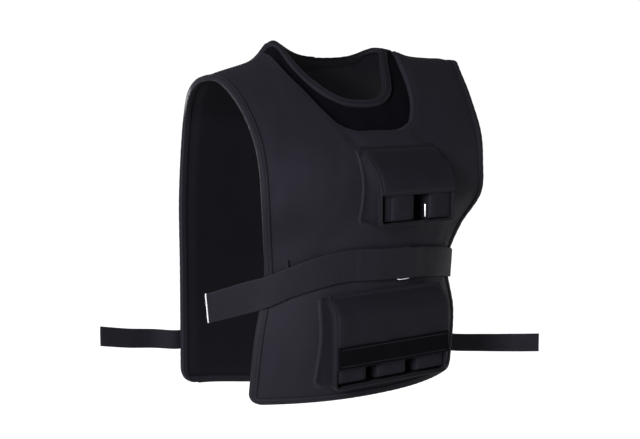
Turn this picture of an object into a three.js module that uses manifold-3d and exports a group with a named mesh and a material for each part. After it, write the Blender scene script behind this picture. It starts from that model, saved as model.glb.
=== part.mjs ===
// A weighted training vest, worn: padded front and back panels joined at the shoulders and open at both sides,
// a bound neckline on an inner yoke, two flapped pouches with weight sleeves, a waist belt and a rear strap.
// Millimetres. +X is the wearer's left, -Y the front, +Z up. The origin is midway between the neck points.
import * as THREE from "three";
import { mergeVertices } from "three/addons/utils/BufferGeometryUtils.js";
import Module from "manifold-3d";

// Body of the vest
const FRONT_DROP = 555; // neck points down to the front hem
const BACK_DROP = 593; // neck points down to the middle of the back hem
const CHEST_DEPTH = 170; // shoulder line forward to the chest
const BACK_DEPTH = 148; // shoulder line back to the shoulder blades
const HALF_WIDTH = 222; // middle to the side edge at the upper chest
const SIDE_WRAP = 62; // how far the side edges turn back round the ribs
const SHOULDER_FALL = 50; // how far the shoulder falls from the middle to its outer edge
const NECK_RISE = 27; // the collar area stands up this much beside the wearer's right neck point
const NECK_RISE_REACH = 25;
const NAPE_RISE_REACH = 70; // the rise reaches further inwards behind the right neck point
const LEFT_NECK_RISE = 18; // beside the left neck point
const LEFT_NECK_RISE_REACH = 32;
const LEFT_SHOULDER_LIFT = 30; // the left shoulder sits this much higher at its tip
const SHOULDER_REACH = 105; // length along the strap over which that dies away
const LEFT_SHOULDER_FLARE = 34; // and the left strap bulges this much further out
const LEFT_FLARE_RUN = 35; // this far in front of the shoulder crest
const LEFT_FLARE_REACH = 75; // dying away over this length

// Panels
const PANEL_THICKNESS = 9;
const EDGE_THICKNESS = 4; // where the padding is flattened under the binding
const EDGE_TAPER = 20;
const GAP = 0.3;
const FRONT_CORNER = 20;
const BACK_CORNER = 32;
const BACK_TAIL = 26; // the back hem's middle hangs this far below its corners

// Neckline, inner yoke and edge bindings
const NECK_HALF = 106;
const FRONT_NECK_RUN = 128; // along the front from the shoulder crest to the neckline's lowest point
const BACK_NECK_RUN = 44;
const YOKE_BESIDE = 26; // the yoke shows this far beside the neckline at the shoulder crest
const YOKE_BELOW = 65; // and this far below its lowest point, down to the front panel's scoop
const SCOOP_HALF = NECK_HALF + YOKE_BESIDE;
const SCOOP_RUN = FRONT_NECK_RUN + YOKE_BELOW;
const SCOOP_EDGE_THICKNESS = 4; // the front panel thins to this where its scoop meets the shoulder crest
const YOKE_THICKNESS = 4;
const YOKE_TUCK = 15; // the yoke runs this far under the front panel
const YOKE_GAP = 1.5; // between the yoke and the panel over it
const YOKE_MARGIN = 8; // the front panel keeps its scoop's thickness this far past the yoke
const CREST_BLEND = 90; // length along the scoop over which the front panel thins towards the crest
const NAPE_BLEND = 30; // length behind the crest over which the neckline comes up to the back panel's surface
const BINDING_WIDTH = 11;
const BINDING_THICKNESS = 1.4;
const BINDING_INSET = 2.4; // the bound edge stops this far short of the binding's fold
const BINDING_MARGIN = 3; // the back panel stays thin this far past its neckline's binding
const BINDING_PLAY = 0.7;
const NECK_BINDING_PLAY = 1.5; // more, where the shoulder crest bends the tape

// Pouches: places on the front, and how far their flat faces stand forward of the shoulder line
const CHEST_POUCH = {
  middle: 21,
  half: 71,
  top: -164,
  fold: -230,
  bottom: -277,
  face: 209,
  topFace: 0,
  flapEnd: -231,
};
const BELLY_POUCH = {
  middle: 3,
  half: 109,
  top: -388,
  fold: -422,
  bottom: -527,
  face: 172,
  topFace: 153,
  flapEnd: -495,
};
const GUSSET_THICKNESS = 2.5;
const SHELF_THICKNESS = 4;
const FLAP_THICKNESS = 4;
const FLAP_OVERHANG = 1.5;
const GUSSET_FLARE = { chest: -12, belly: 10 }; // spread where they meet the panel, from top to bottom
const BACKING = 3.2; // front of a pouch's back wall, from the panel's surface
const SEAM_STAND = 1; // how far a pouch's sewn edge stands off the panel
const TRAY_TOP_INSET = 4; // the tray starts this far below its flap's seam
const FOLD_BEND = 5; // below the fold, where the flap hangs straight
// Weight sleeves: pitch, width and the first one's middle as shares of the pouch's half width; drop below the
// pouch's top and rise above its bottom
const CHEST_SLEEVES = { count: 2, pitchShare: 1.028, widthShare: 0.62, firstShare: -0.387, drop: 26, rise: 5 };
const BELLY_SLEEVES = { count: 3, pitchShare: 0.711, widthShare: 0.523, firstShare: -0.711, drop: 42, rise: 8 };
const SLEEVE_SETBACK = 1.5;
const SLEEVE_BACK_GAP = 1;
const HOOK_STRIP_DROP = 72; // below the belly pouch's top
const HOOK_STRIP_HEIGHT = 33;
const HOOK_STRIP_THICKNESS = 1.6;

// Waist belt, its ring and tab
const BELT_WIDTH = 50;
const BELT_THICKNESS = 1.8;
const BELT_LIFT = 4.2;
const BELT_SETTLE = 30; // length over which the belt comes down beside the ring and its tab
const BELT_FREE_LENGTH = 65; // sideways, past the front panel's right edge
const RING_WIDTH = 30;
const RING_HEIGHT = 50;
const RING_CORNER = 7;
const RING_WIRE = 3;
const RING_X = 41;
const RING_Z = -348;
const RING_LIFT = 2.4;
const TAB_WIDTH = 25;
const TAB_THICKNESS = 1.2;
const TAB_LENGTH = 34;
const TAB_FOLD = 6; // length beside the ring's bar over which the tab opens round it

// Rear strap
const STRAP_WIDTH = 32;
const STRAP_THICKNESS = 1.6;
const STRAP_LIFT = 1.2;
const STRAP_CLIMB_START = 30; // short of the back panel's edge, where the strap starts to climb over its binding
const STRAP_CLIMB = 20; // length of that climb
const STRAP_PAST_EDGE = 2;
const STRAP_MIDDLE_Z = -511;
const STRAP_SLOPE = 0.1; // falls towards the wearer's left
const STRAP_RIGHT_REACH = 143; // sideways, past the back panel's right edge
const STRAP_LEFT_REACH = 284; // forward from the back panel's left edge

// Profile down the middle of the vest, front hem over the shoulders to back hem. depth: share of CHEST_DEPTH or
// BACK_DEPTH; height: share of FRONT_DROP or BACK_DROP below the neck points; width: share of HALF_WIDTH;
// wrap and fall: how far the side edge stands back (share of SIDE_WRAP) and down (share of SHOULDER_FALL) there.
const SECTIONS = [
  { name: "front_hem", side: -1, depth: 0.806, height: 1.0, width: 0.914, wrap: 1.0, fall: 0, power: 2.2 },
  { name: "belly", side: -1, depth: 0.876, height: 0.811, width: 0.892, wrap: 0.98, fall: 0, power: 2.7 },
  { name: "waist", side: -1, depth: 0.859, height: 0.64, width: 0.82, wrap: 0.88, fall: 0, power: 2.5 },
  { name: "rib", side: -1, depth: 0.894, height: 0.541, width: 0.874, wrap: 0.68, fall: 0, power: 2 },
  { name: "low_chest", side: -1, depth: 0.988, height: 0.441, width: 0.96, wrap: 0.48, fall: 0, power: 2 },
  { name: "chest", side: -1, depth: 1.0, height: 0.351, width: 0.973, wrap: 0.52, fall: 0, power: 2 },
  { name: "scoop", side: -1, depth: 0.771, height: 0.231, width: 0.99, wrap: 0.145, fall: 0.13, power: 2 },
  { name: "neckline", side: -1, depth: 0.571, height: 0.151, width: 1.0, wrap: 0.13, fall: 0.21, power: 2 },
  { name: "collar", side: -1, depth: 0.306, height: 0.072, width: 1.01, wrap: 0.26, fall: 0.42, power: 1.8 },
  { name: "crest", side: 1, depth: 0, height: 0.0085, width: 1.05, wrap: 0, fall: 1.05, power: 1.35 },
  { name: "shoulder", side: 1, depth: 0.405, height: 0.079, width: 1.045, wrap: 0.32, fall: 0.5, power: 1.6 },
  { name: "blade", side: 1, depth: 0.919, height: 0.202, width: 0.905, wrap: 0.22, fall: 0, power: 2 },
  { name: "mid_back", side: 1, depth: 1.0, height: 0.41, width: 0.941, wrap: 0.35, fall: 0, power: 2 },
  { name: "back_waist", side: 1, depth: 0.986, height: 0.632, width: 0.95, wrap: 0.35, fall: 0, power: 2 },
  { name: "back_hem", side: 1, depth: 0.986, height: 1.0, width: 0.96, wrap: 0.35, fall: 0, power: 2 },
];

// Right half of each neck curve. across: share of its half width; along: share of its run from the crest.
const NECK_CURVE = [
  { across: 1.0, along: 0 },
  { across: 0.79, along: 0.37 },
  { across: 0.65, along: 0.64 },
  { across: 0.49, along: 0.85 },
  { across: 0.31, along: 0.96 },
  { across: 0, along: 1.0 },
];
const BACK_NECK_CURVE = [
  { across: 1.0, along: 0 },
  { across: 0.76, along: 0.52 },
  { across: 0.43, along: 0.86 },
  { across: 0, along: 1.0 },
];
const SCOOP_CURVE = [
  { across: 1.0, along: 0 },
  { across: 0.93, along: 0.24 },
  { across: 0.86, along: 0.44 },
  { across: 0.79, along: 0.58 },
  { across: 0.72, along: 0.71 },
  { across: 0.63, along: 0.83 },
  { across: 0.54, along: 0.92 },
  { across: 0.415, along: 0.975 },
  { across: 0, along: 1.0 },
];

// The belt's middle line over the front panel. across: x as a share of the waist's half width; height: share of
// FRONT_DROP.
const BELT_ON_FRONT = [
  { across: -1.0, height: 0.683 },
  { across: -0.82, height: 0.654 },
  { across: -0.63, height: 0.632 },
  { across: -0.38, height: 0.618 },
  { across: 0, height: 0.62 },
  { across: 0.5, height: 0.631 },
  { across: 0.87, height: 0.65 },
  { across: 1.0, height: 0.662 },
];
// Past the panel's right edge the belt hangs free: shares of BELT_FREE_LENGTH outwards, backwards and down, and
// the lean of its upper edge in degrees.
const BELT_FREE_END = [
  { out: 0.31, back: 0.25, drop: 0.11, lean: -6 },
  { out: 0.65, back: 0.57, drop: 0.25, lean: -13 },
  { out: 1, back: 0.92, drop: 0.4, lean: -20 },
];
// On the left it runs round to the back panel. along: share of the way between the two panels' edges; bow: how
// far it stands out from the straight line between them, as a share of the belt's width.
const BELT_TO_BACK = [
  { along: 0.1, bow: 0.2 },
  { along: 0.33, bow: 0.22 },
  { along: 0.6, bow: 0.2 },
  { along: 0.85, bow: 0.18 },
  { along: 0.97, bow: 0.12 },
  { along: 1.02, bow: 0.05 },
];
const BELT_SEWN_LENGTH = 46; // its last run, flat on the back panel

// Free ends of the rear strap, as shares of STRAP_RIGHT_REACH and STRAP_LEFT_REACH, from the back panel's edges
const STRAP_RIGHT_END = [
  { out: 0.27, forward: -0.07, rise: 0.035 },
  { out: 0.63, forward: 0, rise: 0.1 },
  { out: 1, forward: 0.1, rise: 0.19 },
];
const STRAP_LEFT_END = [
  { out: 0.08, forward: 0.04, rise: -0.007 },
  { out: 0.17, forward: 0.19, rise: -0.014 },
  { out: 0.23, forward: 0.4, rise: -0.021 },
  { out: 0.31, forward: 0.63, rise: 0.007 },
  { out: 0.37, forward: 0.82, rise: 0.035 },
  { out: 0.43, forward: 1, rise: 0.063 },
];

const wasm = await Module();
wasm.setup();

const smooth = (t) => {
  const k = Math.min(1, Math.max(0, t));
  return k * k * (3 - 2 * k);
};
const bell = (t) => Math.exp(-t * t);
const mix = (a, b, t) => a + (b - a) * t;

// Smooth curve through rows of equal-length numbers, at parameter t measured along stops
function through(stops, rows, t) {
  const last = stops.length - 1;
  const step = (i) => stops[i + 1] - stops[i];
  const rate = (i, k) => (rows[i + 1][k] - rows[i][k]) / step(i);
  const slope = (i, k) => {
    if (i === 0) return rate(0, k);
    if (i === last) return rate(last - 1, k);
    return (rate(i - 1, k) * step(i) + rate(i, k) * step(i - 1)) / (step(i - 1) + step(i));
  };
  let i = 0;
  while (i < last - 1 && t > stops[i + 1]) i += 1;
  const h = step(i);
  const u = (t - stops[i]) / h;
  const a = 2 * u ** 3 - 3 * u ** 2 + 1;
  const b = u ** 3 - 2 * u ** 2 + u;
  const c = 3 * u ** 2 - 2 * u ** 3;
  const d = u ** 3 - u ** 2;
  return rows[i].map((v, k) => a * v + b * h * slope(i, k) + c * rows[i + 1][k] + d * h * slope(i + 1, k));
}

// Torso surface: the outside of both panels, as x across and s along, s = 0 on the shoulder crest, s < 0 in front
const PROFILE = SECTIONS.map((row) => [
  row.side * row.depth * (row.side < 0 ? CHEST_DEPTH : BACK_DEPTH),
  -row.height * (row.side < 0 ? FRONT_DROP : BACK_DROP),
  row.width * HALF_WIDTH,
  -row.side * row.wrap * SIDE_WRAP,
  -row.fall * SHOULDER_FALL,
  row.power,
]);
const CREST = SECTIONS.findIndex((row) => row.name === "crest");
const RUNS = [0];
for (let i = 1; i < PROFILE.length; i += 1) {
  RUNS.push(RUNS[i - 1] + Math.hypot(PROFILE[i][0] - PROFILE[i - 1][0], PROFILE[i][1] - PROFILE[i - 1][1]));
}
const STOPS = RUNS.map((run) => run - RUNS[CREST]);
const HEM = { front: STOPS[0], back: STOPS[STOPS.length - 1] };

function halfWidth(s, side) {
  const flare = side > 0 ? LEFT_SHOULDER_FLARE * bell((s + LEFT_FLARE_RUN) / LEFT_FLARE_REACH) : 0;
  return through(STOPS, PROFILE, s)[2] + flare;
}

function surfacePoint(x, s) {
  const [y, z, width, wrap, fall, power] = through(STOPS, PROFILE, s);
  const k = Math.abs(x / width) ** power;
  const rise = x < 0 ? NECK_RISE : LEFT_NECK_RISE;
  const outward = x < 0 ? NECK_RISE_REACH : LEFT_NECK_RISE_REACH;
  const atNape = -NECK_HALF < x && x < 0;
  const reach = atNape ? mix(outward, NAPE_RISE_REACH, smooth(s / NAPE_BLEND)) : outward;
  const collar = rise * bell((Math.abs(x) - NECK_HALF) / reach) * bell(s / (2 * NECK_RISE_REACH));
  const share = Math.max(0, (x - NECK_HALF) / (width - NECK_HALF));
  const left = LEFT_SHOULDER_LIFT * share * bell(s / SHOULDER_REACH);
  return new THREE.Vector3(x, y + wrap * k, z + fall * k + collar + left);
}

// A point lifted off the torso surface along its outward normal
function onTorso(x, s, lift) {
  const e = 0.5;
  const across = surfacePoint(x + e, s).sub(surfacePoint(x - e, s));
  const along = surfacePoint(x, s + e).sub(surfacePoint(x, s - e));
  return surfacePoint(x, s).addScaledVector(across.cross(along).normalize(), lift);
}

// Where the surface passes height z at x, in front or behind
function runAtHeight(x, z, face) {
  let near = 0;
  let far = HEM[face];
  for (let i = 0; i < 30; i += 1) {
    const middle = (near + far) / 2;
    if (surfacePoint(x, middle).z > z) near = middle;
    else far = middle;
  }
  return near;
}
const frontY = (x, z) => surfacePoint(x, runAtHeight(x, z, "front")).y;

// Paths in the (x, s) plane
function evenly(path, fraction) {
  const lengths = [0];
  for (let i = 1; i < path.length; i += 1) {
    lengths.push(lengths[i - 1] + Math.hypot(path[i][0] - path[i - 1][0], path[i][1] - path[i - 1][1]));
  }
  const target = fraction * lengths[lengths.length - 1];
  let i = 1;
  while (i < path.length - 1 && lengths[i] < target) i += 1;
  const t = (target - lengths[i - 1]) / (lengths[i] - lengths[i - 1]);
  return [mix(path[i - 1][0], path[i][0], t), mix(path[i - 1][1], path[i][1], t)];
}

// From the wearer's right shoulder round to the left one
function neckPath(rows, half, run) {
  const right = rows.map((row) => [-row.across * half, row.along * run]);
  const left = right.slice(0, -1).reverse().map(([x, s]) => [-x, s]);
  const points = [...right, ...left];
  const stops = [0];
  for (let i = 1; i < points.length; i += 1) {
    stops.push(stops[i - 1] + Math.hypot(points[i][0] - points[i - 1][0], points[i][1] - points[i - 1][1]));
  }
  const steps = 120;
  const length = stops[stops.length - 1];
  return Array.from({ length: steps + 1 }, (_, i) => through(stops, points, (i / steps) * length));
}

// Point of a path, stepped sideways. side is +1 towards the middle of the panel, -1 away from it.
function besidePath(path, fraction, distance, side) {
  const e = 0.004;
  const before = evenly(path, Math.max(0, fraction - e));
  const after = evenly(path, Math.min(1, fraction + e));
  const [x, s] = evenly(path, fraction);
  const turn = Math.sign(path[Math.floor(path.length / 2)][1]) * side;
  let dx = (after[1] - before[1]) * turn;
  let ds = -(after[0] - before[0]) * turn;
  if (fraction === 0 || fraction === 1) ds = 0;
  const length = Math.hypot(dx, ds);
  dx /= length;
  ds /= length;
  return [x + dx * distance, s + ds * distance];
}

// Solids
function solid(name, vertices, triangles, color, roughness, metalness = 0) {
  let geometry = new THREE.BufferGeometry();
  geometry.setAttribute("position", new THREE.Float32BufferAttribute(vertices, 3));
  geometry.setIndex(triangles);
  if (signedVolume(vertices, triangles) < 0) {
    geometry.setIndex(triangles.map((_, i) => triangles[i - (i % 3) + [0, 2, 1][i % 3]]));
  }
  geometry = mergeVertices(geometry, 1e-4);
  geometry.computeVertexNormals();
  const mesh = new THREE.Mesh(geometry, new THREE.MeshStandardMaterial({ color, roughness, metalness }));
  mesh.name = name;
  return mesh;
}

function signedVolume(vertices, triangles) {
  const at = (i) => new THREE.Vector3().fromArray(vertices, 3 * i);
  let volume = 0;
  for (let i = 0; i < triangles.length; i += 3) {
    volume += at(triangles[i]).dot(at(triangles[i + 1]).cross(at(triangles[i + 2])));
  }
  return volume;
}

// A closed skin over a grid: outer(i, j) above inner(i, j), with rims wherever a cell has no neighbour.
// closed joins the last row to the first; covered says which cells there are.
function slab(rows, columns, outer, inner, { closed = false, covered = () => true } = {}) {
  const vertices = [];
  const triangles = [];
  const known = new Map();
  const at = (layer, i, j) => {
    const row = i % rows;
    const key = (layer * rows + row) * columns + j;
    if (!known.has(key)) {
      known.set(key, vertices.length / 3);
      vertices.push(...(layer ? inner : outer)(row, j).toArray());
    }
    return known.get(key);
  };
  const quad = (a, b, c, d) => triangles.push(a, b, c, a, c, d);
  const rim = (i, j, k, l) => quad(at(0, i, j), at(1, i, j), at(1, k, l), at(0, k, l));
  const spans = closed ? rows : rows - 1;
  const there = (i, j) => {
    if (j < 0 || j >= columns - 1) return false;
    if (closed) return covered((i + rows) % rows, j);
    return i >= 0 && i < spans && covered(i, j);
  };
  for (let i = 0; i < spans; i += 1) {
    for (let j = 0; j < columns - 1; j += 1) {
      if (!there(i, j)) continue;
      quad(at(0, i, j), at(0, i + 1, j), at(0, i + 1, j + 1), at(0, i, j + 1));
      quad(at(1, i, j), at(1, i, j + 1), at(1, i + 1, j + 1), at(1, i + 1, j));
      if (!there(i, j - 1)) rim(i, j, i + 1, j);
      if (!there(i, j + 1)) rim(i + 1, j + 1, i, j + 1);
      if (!there(i - 1, j)) rim(i, j + 1, i, j);
      if (!there(i + 1, j)) rim(i + 1, j, i + 1, j + 1);
    }
  }
  return { vertices, triangles };
}

function toManifold({ vertices, triangles }) {
  const mesh = solid("tool", vertices, triangles, 0, 1);
  mesh.geometry.deleteAttribute("normal");
  const merged = mergeVertices(mesh.geometry, 1e-4);
  return new wasm.Manifold(
    new wasm.Mesh({
      numProp: 3,
      vertProperties: new Float32Array(merged.attributes.position.array),
      triVerts: new Uint32Array(merged.index.array),
    }),
  );
}

function carved(shape, ...tools) {
  const cut = tools.reduce((rest, tool) => rest.subtract(tool), toManifold(shape)).getMesh();
  return { vertices: Array.from(cut.vertProperties), triangles: Array.from(cut.triVerts) };
}

const CLOTH = { color: 0x1f1e23, roughness: 0.85 };
const LINING = { color: 0x131217, roughness: 0.95 };
const WEBBING = { color: 0x242228, roughness: 0.7 };
const HOOK = { color: 0x0c0b0e, roughness: 1 };
const STEEL = { color: 0xd8dadd, roughness: 0.22, metalness: 1 };
const cloth = (name, shape, look = CLOTH) =>
  solid(name, shape.vertices, shape.triangles, look.color, look.roughness, look.metalness);

// Panels: a grid of rows down each panel and columns across it, open where the neck is. Edge columns and hem rows
// keep fixed distances from the bound edge, so that the bindings lie along them.
const EDGE_RINGS = [BINDING_INSET, BINDING_WIDTH + 1, BINDING_WIDTH + 1 + EDGE_TAPER];
const STRAP_COLUMNS = 4; // between the edge columns and the neck
const NECK_RINGS = 2; // columns and rows that keep fixed distances from the neck opening
const NECK_COLUMNS = 6;
const BODY_ROWS = 12;
const neckEdge = {
  front: neckPath(NECK_CURVE, NECK_HALF, -FRONT_NECK_RUN),
  back: neckPath(BACK_NECK_CURVE, NECK_HALF, BACK_NECK_RUN),
};
const scoopEdge = neckPath(SCOOP_CURVE, SCOOP_HALF, -SCOOP_RUN);

// turn: where the neck curve changes from the strap's side to the bottom of the opening, as a share of its length
// margins: distances beside the neck opening over which the panel keeps the thickness of its edge.
const LAYOUT = {
  front: {
    sign: -1,
    neck: scoopEdge,
    inset: 0,
    turn: 0.37,
    strapRows: 7,
    margins: [(YOKE_TUCK + YOKE_MARGIN) / 2, YOKE_TUCK + YOKE_MARGIN],
    corner: FRONT_CORNER,
    tail: 0,
  },
  back: {
    sign: 1,
    neck: neckEdge.back,
    inset: BINDING_INSET,
    turn: 0.2,
    strapRows: 4,
    margins: [(BINDING_WIDTH + BINDING_MARGIN) / 2, BINDING_WIDTH + BINDING_MARGIN],
    corner: BACK_CORNER,
    tail: BACK_TAIL,
  },
};
const LAST_COLUMN = 2 * (EDGE_RINGS.length + STRAP_COLUMNS) + NECK_COLUMNS - 2;
const NECK_FROM = EDGE_RINGS.length + STRAP_COLUMNS - 1;
const NECK_TO = LAST_COLUMN - NECK_FROM;
const lastRow = (face) => LAYOUT[face].strapRows + NECK_RINGS + BODY_ROWS + EDGE_RINGS.length;

// Keeps the two panels clear of each other at the shoulder crest
const clearOfCrest = (s, face) => (face === "front" ? Math.min(s, -GAP) : Math.max(s, GAP));

function neckPoint(face, fraction) {
  const { neck, inset } = LAYOUT[face];
  return inset ? besidePath(neck, fraction, inset, -1) : evenly(neck, fraction);
}

// Point (i, j) of a panel's grid as [x, s]. Columns count from the right side edge; the left half mirrors them.
// edge and hem replace the distance that an edge column or a hem row keeps from the bound edge.
function place(face, i, j, edge, hem) {
  const { sign, turn, strapRows, margins, corner, tail } = LAYOUT[face];
  const side = j > LAST_COLUMN / 2 ? 1 : -1;
  const column = side > 0 ? LAST_COLUMN - j : j;
  const rings = EDGE_RINGS.length;
  const fromEdge = column < rings ? (edge ?? EDGE_RINGS[column]) : 0;

  // The neck opening's own point for this row or column
  const acrossNeck = Math.max(0, (column - NECK_FROM) / (LAST_COLUMN / 2 - NECK_FROM));
  const downNeck = Math.min(1, i / strapRows);
  const [neckX, neckS] = neckPoint(face, acrossNeck > 0 ? mix(turn, 0.5, acrossNeck) : turn * downNeck);
  const neckRun = Math.abs(neckS);
  const fromNeck = (count) => (count > 0 ? margins[Math.min(count, NECK_RINGS) - 1] : 0);
  const outerAt = (s) => halfWidth(s, side) - EDGE_RINGS[rings - 1];
  const strapShare = (column - rings + 1) / (STRAP_COLUMNS - NECK_RINGS);
  const besideX = (s) => {
    if (column < rings) return halfWidth(s, side) - fromEdge;
    const inner = Math.abs(neckX) + fromNeck(NECK_FROM - column);
    return strapShare < 1 ? mix(outerAt(s), inner, strapShare) : inner;
  };
  if (i <= strapRows) return [side * besideX(neckS), neckS];

  // Below the neck the columns spread evenly over the hem
  const top = neckRun + fromNeck(i - strapRows);
  const hemAt = Math.abs(HEM[face]);
  const hemWidth = halfWidth(sign * (hemAt - tail), side);
  const hemShare = 1 - Math.max(0, (column - rings + 1) / (LAST_COLUMN / 2 - rings + 1));
  const hemX = (hemWidth - EDGE_RINGS[rings - 1]) * hemShare;
  const tailRise = tail * smooth(column < rings ? 1 : hemX / hemWidth);
  const fromBottom = lastRow(face) - i;
  const fromHem = fromBottom < rings ? (hem ?? EDGE_RINGS[fromBottom]) : EDGE_RINGS[rings - 1];
  const t = fromBottom < rings ? 1 : Math.max(0, (i - strapRows - NECK_RINGS) / (BODY_ROWS + 1));
  const s = sign * mix(top, hemAt - tailRise - fromHem, t);
  const topShare = besideX(neckS) / halfWidth(neckS, side);
  const share = mix(topShare, hemX / hemWidth, smooth(t));
  let x = column < rings ? halfWidth(s, side) - fromEdge : share * halfWidth(s, side);
  let run = Math.abs(s);
  if (column < rings && fromBottom < rings) {
    const roundness = Math.max(0, 1 - Math.max(fromEdge, fromHem) / (corner + BINDING_WIDTH));
    const pull = (1 - Math.SQRT1_2) * corner * roundness;
    x -= pull;
    run -= pull;
  }
  return [side * x, sign * run];
}

// How far a grid point lies from the panel's bound edges and from the neck opening
function edgeDistances(face, i, j) {
  const { strapRows, margins } = LAYOUT[face];
  const ring = (index) => EDGE_RINGS[index] ?? Infinity;
  const column = Math.min(j, LAST_COLUMN - j);
  const fromNeck = Math.max(NECK_FROM - column, i - strapRows);
  return {
    edge: Math.min(ring(column), ring(lastRow(face) - i)),
    neck: fromNeck > 0 ? (margins[fromNeck - 1] ?? Infinity) : 0,
  };
}

const taper = (distance) => smooth((distance - BINDING_WIDTH) / EDGE_TAPER);

// Thickness of the front panel along its scoop, and how far below the surface the neck's bound edge lies
const scoopThickness = (s) => mix(PANEL_THICKNESS, SCOOP_EDGE_THICKNESS, smooth((s + CREST_BLEND) / CREST_BLEND));
function neckLevel(s) {
  if (s <= 0) return -(scoopThickness(s) + YOKE_GAP);
  return -(SCOOP_EDGE_THICKNESS + YOKE_GAP) * (1 - smooth(s / NAPE_BLEND));
}

function panelDepths(face, i, j, s) {
  const { edge, neck } = edgeDistances(face, i, j);
  const bound = mix(EDGE_THICKNESS, PANEL_THICKNESS, taper(edge));
  if (face === "front") {
    const thickness = neck < Infinity ? Math.min(bound, scoopThickness(s)) : bound;
    return { dip: 0, thickness };
  }
  const beside = taper(neck);
  const thickness = Math.min(bound, mix(EDGE_THICKNESS, PANEL_THICKNESS, beside));
  return { dip: neckLevel(s) * (1 - beside), thickness };
}

function panel(face, swell = 0) {
  const { strapRows } = LAYOUT[face];
  const layer = (inside) => (i, j) => {
    const [x, s] = place(face, i, j);
    const { dip, thickness } = panelDepths(face, i, j, s);
    return onTorso(x, clearOfCrest(s, face), dip + (inside ? -thickness - swell : swell));
  };
  const covered = (i, j) => i >= strapRows || j < NECK_FROM || j >= NECK_TO;
  return slab(lastRow(face) + 1, LAST_COLUMN + 1, layer(false), layer(true), { covered });
}

// Bindings: a folded tape, lipped over a bound edge. level is the bound edge's outer face; folds are the
// distances from the fold at which the tape bends with the cloth.
function foldedTape(stations, closed, spot, level, play, folds) {
  const lip = [...folds, BINDING_WIDTH];
  const wrap = (first, stand) => {
    const distances = [first, ...lip];
    return [
      ...distances.map((distance) => [distance, stand]).reverse(),
      ...distances.map((distance) => [distance, -EDGE_THICKNESS - stand]),
    ];
  };
  const over = wrap(0, play + BINDING_THICKNESS);
  const under = wrap(BINDING_THICKNESS, play);
  const at = (profile) => (i, j) => spot(i, profile[j][0], (s) => level(s) + profile[j][1]);
  return slab(stations, over.length, at(over), at(under), { closed });
}

function outlineBinding(face) {
  const last = lastRow(face);
  const stations = [];
  for (let i = 0; i <= last; i += 1) stations.push([i, 0]);
  const firstInside = EDGE_RINGS.length - 1;
  for (let j = firstInside; j <= LAST_COLUMN - firstInside; j += 1) stations.push([last, j]);
  for (let i = last; i >= 0; i -= 1) stations.push([i, LAST_COLUMN]);
  const spot = (k, distance, lift) => {
    const [i, j] = stations[k];
    const onSide = j === 0 || j === LAST_COLUMN;
    const [x, s] = place(face, i, j, onSide ? distance : undefined, i === last ? distance : undefined);
    return onTorso(x, clearOfCrest(s, face), lift(s));
  };
  return foldedTape(stations.length, false, spot, () => 0, BINDING_PLAY, []);
}

// Stations along a neck path that fall on the back panel's grid
const NECK_STATIONS = [];
const NAPE = LAYOUT.back;
for (let i = 0; i < NAPE.strapRows; i += 1) NECK_STATIONS.push((NAPE.turn * i) / NAPE.strapRows);
for (let j = 0; j <= NECK_COLUMNS; j += 1) NECK_STATIONS.push(mix(NAPE.turn, 1 - NAPE.turn, j / NECK_COLUMNS));
for (let i = NAPE.strapRows - 1; i > 0; i -= 1) NECK_STATIONS.push(1 - (NAPE.turn * i) / NAPE.strapRows);
const YOKE_SPANS = 28;

function neckBinding() {
  const back = NECK_STATIONS.map((u) => ["back", u]).reverse();
  const front = Array.from({ length: YOKE_SPANS }, (_, i) => ["front", i / YOKE_SPANS]);
  const stations = [...front, ["back", 1], ...back.slice(0, -1)];
  const spot = (k, distance, lift) => {
    const [face, u] = stations[k];
    const [x, s] = besidePath(neckEdge[face], u, distance, -1);
    return onTorso(x, s, lift(s));
  };
  return foldedTape(stations.length, true, spot, neckLevel, NECK_BINDING_PLAY, [BINDING_WIDTH / 2]);
}

function yoke() {
  const rings = [0, 0.12, 0.25, 0.45, 0.7, 1];
  const layer = (below) => (i, j) => {
    const inner = besidePath(neckEdge.front, i / YOKE_SPANS, BINDING_INSET, -1);
    const outer = besidePath(scoopEdge, i / YOKE_SPANS, YOKE_TUCK, -1);
    const x = mix(inner[0], outer[0], rings[j]);
    const s = mix(inner[1], outer[1], rings[j]);
    return onTorso(x, clearOfCrest(s, "front"), neckLevel(Math.min(0, s)) - below);
  };
  return slab(YOKE_SPANS + 1, rings.length, layer(0), layer(YOKE_THICKNESS));
}

// Pouches. Each is a relief over the front: columns across x, rows down z, between two y values.
function relief(columns, rows, front, back) {
  const place = (y) => (i, j) => {
    const z = rows[i];
    const x = columns[j](z);
    return new THREE.Vector3(x, y(x, z, j), z);
  };
  return slab(rows.length, columns.length, place(front), place(back));
}

function spread(from, to, count) {
  return Array.from({ length: count }, (_, i) => mix(from, to, i / (count - 1)));
}

// Front of the pouch: from the panel at its top, out over the shoulder of the weights, then straight down
function pouchFace(pouch, x, z) {
  if (z <= pouch.fold) return -pouch.face;
  const t = Math.max(0, (pouch.top - z) / (pouch.top - pouch.fold));
  const start = Math.min(frontY(x, z), -pouch.topFace);
  return mix(start, -pouch.face, Math.sin((t * Math.PI) / 2));
}

const INTO_PANEL = 4; // how deep a shape runs into the panel before the panel is cut out of it

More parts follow.
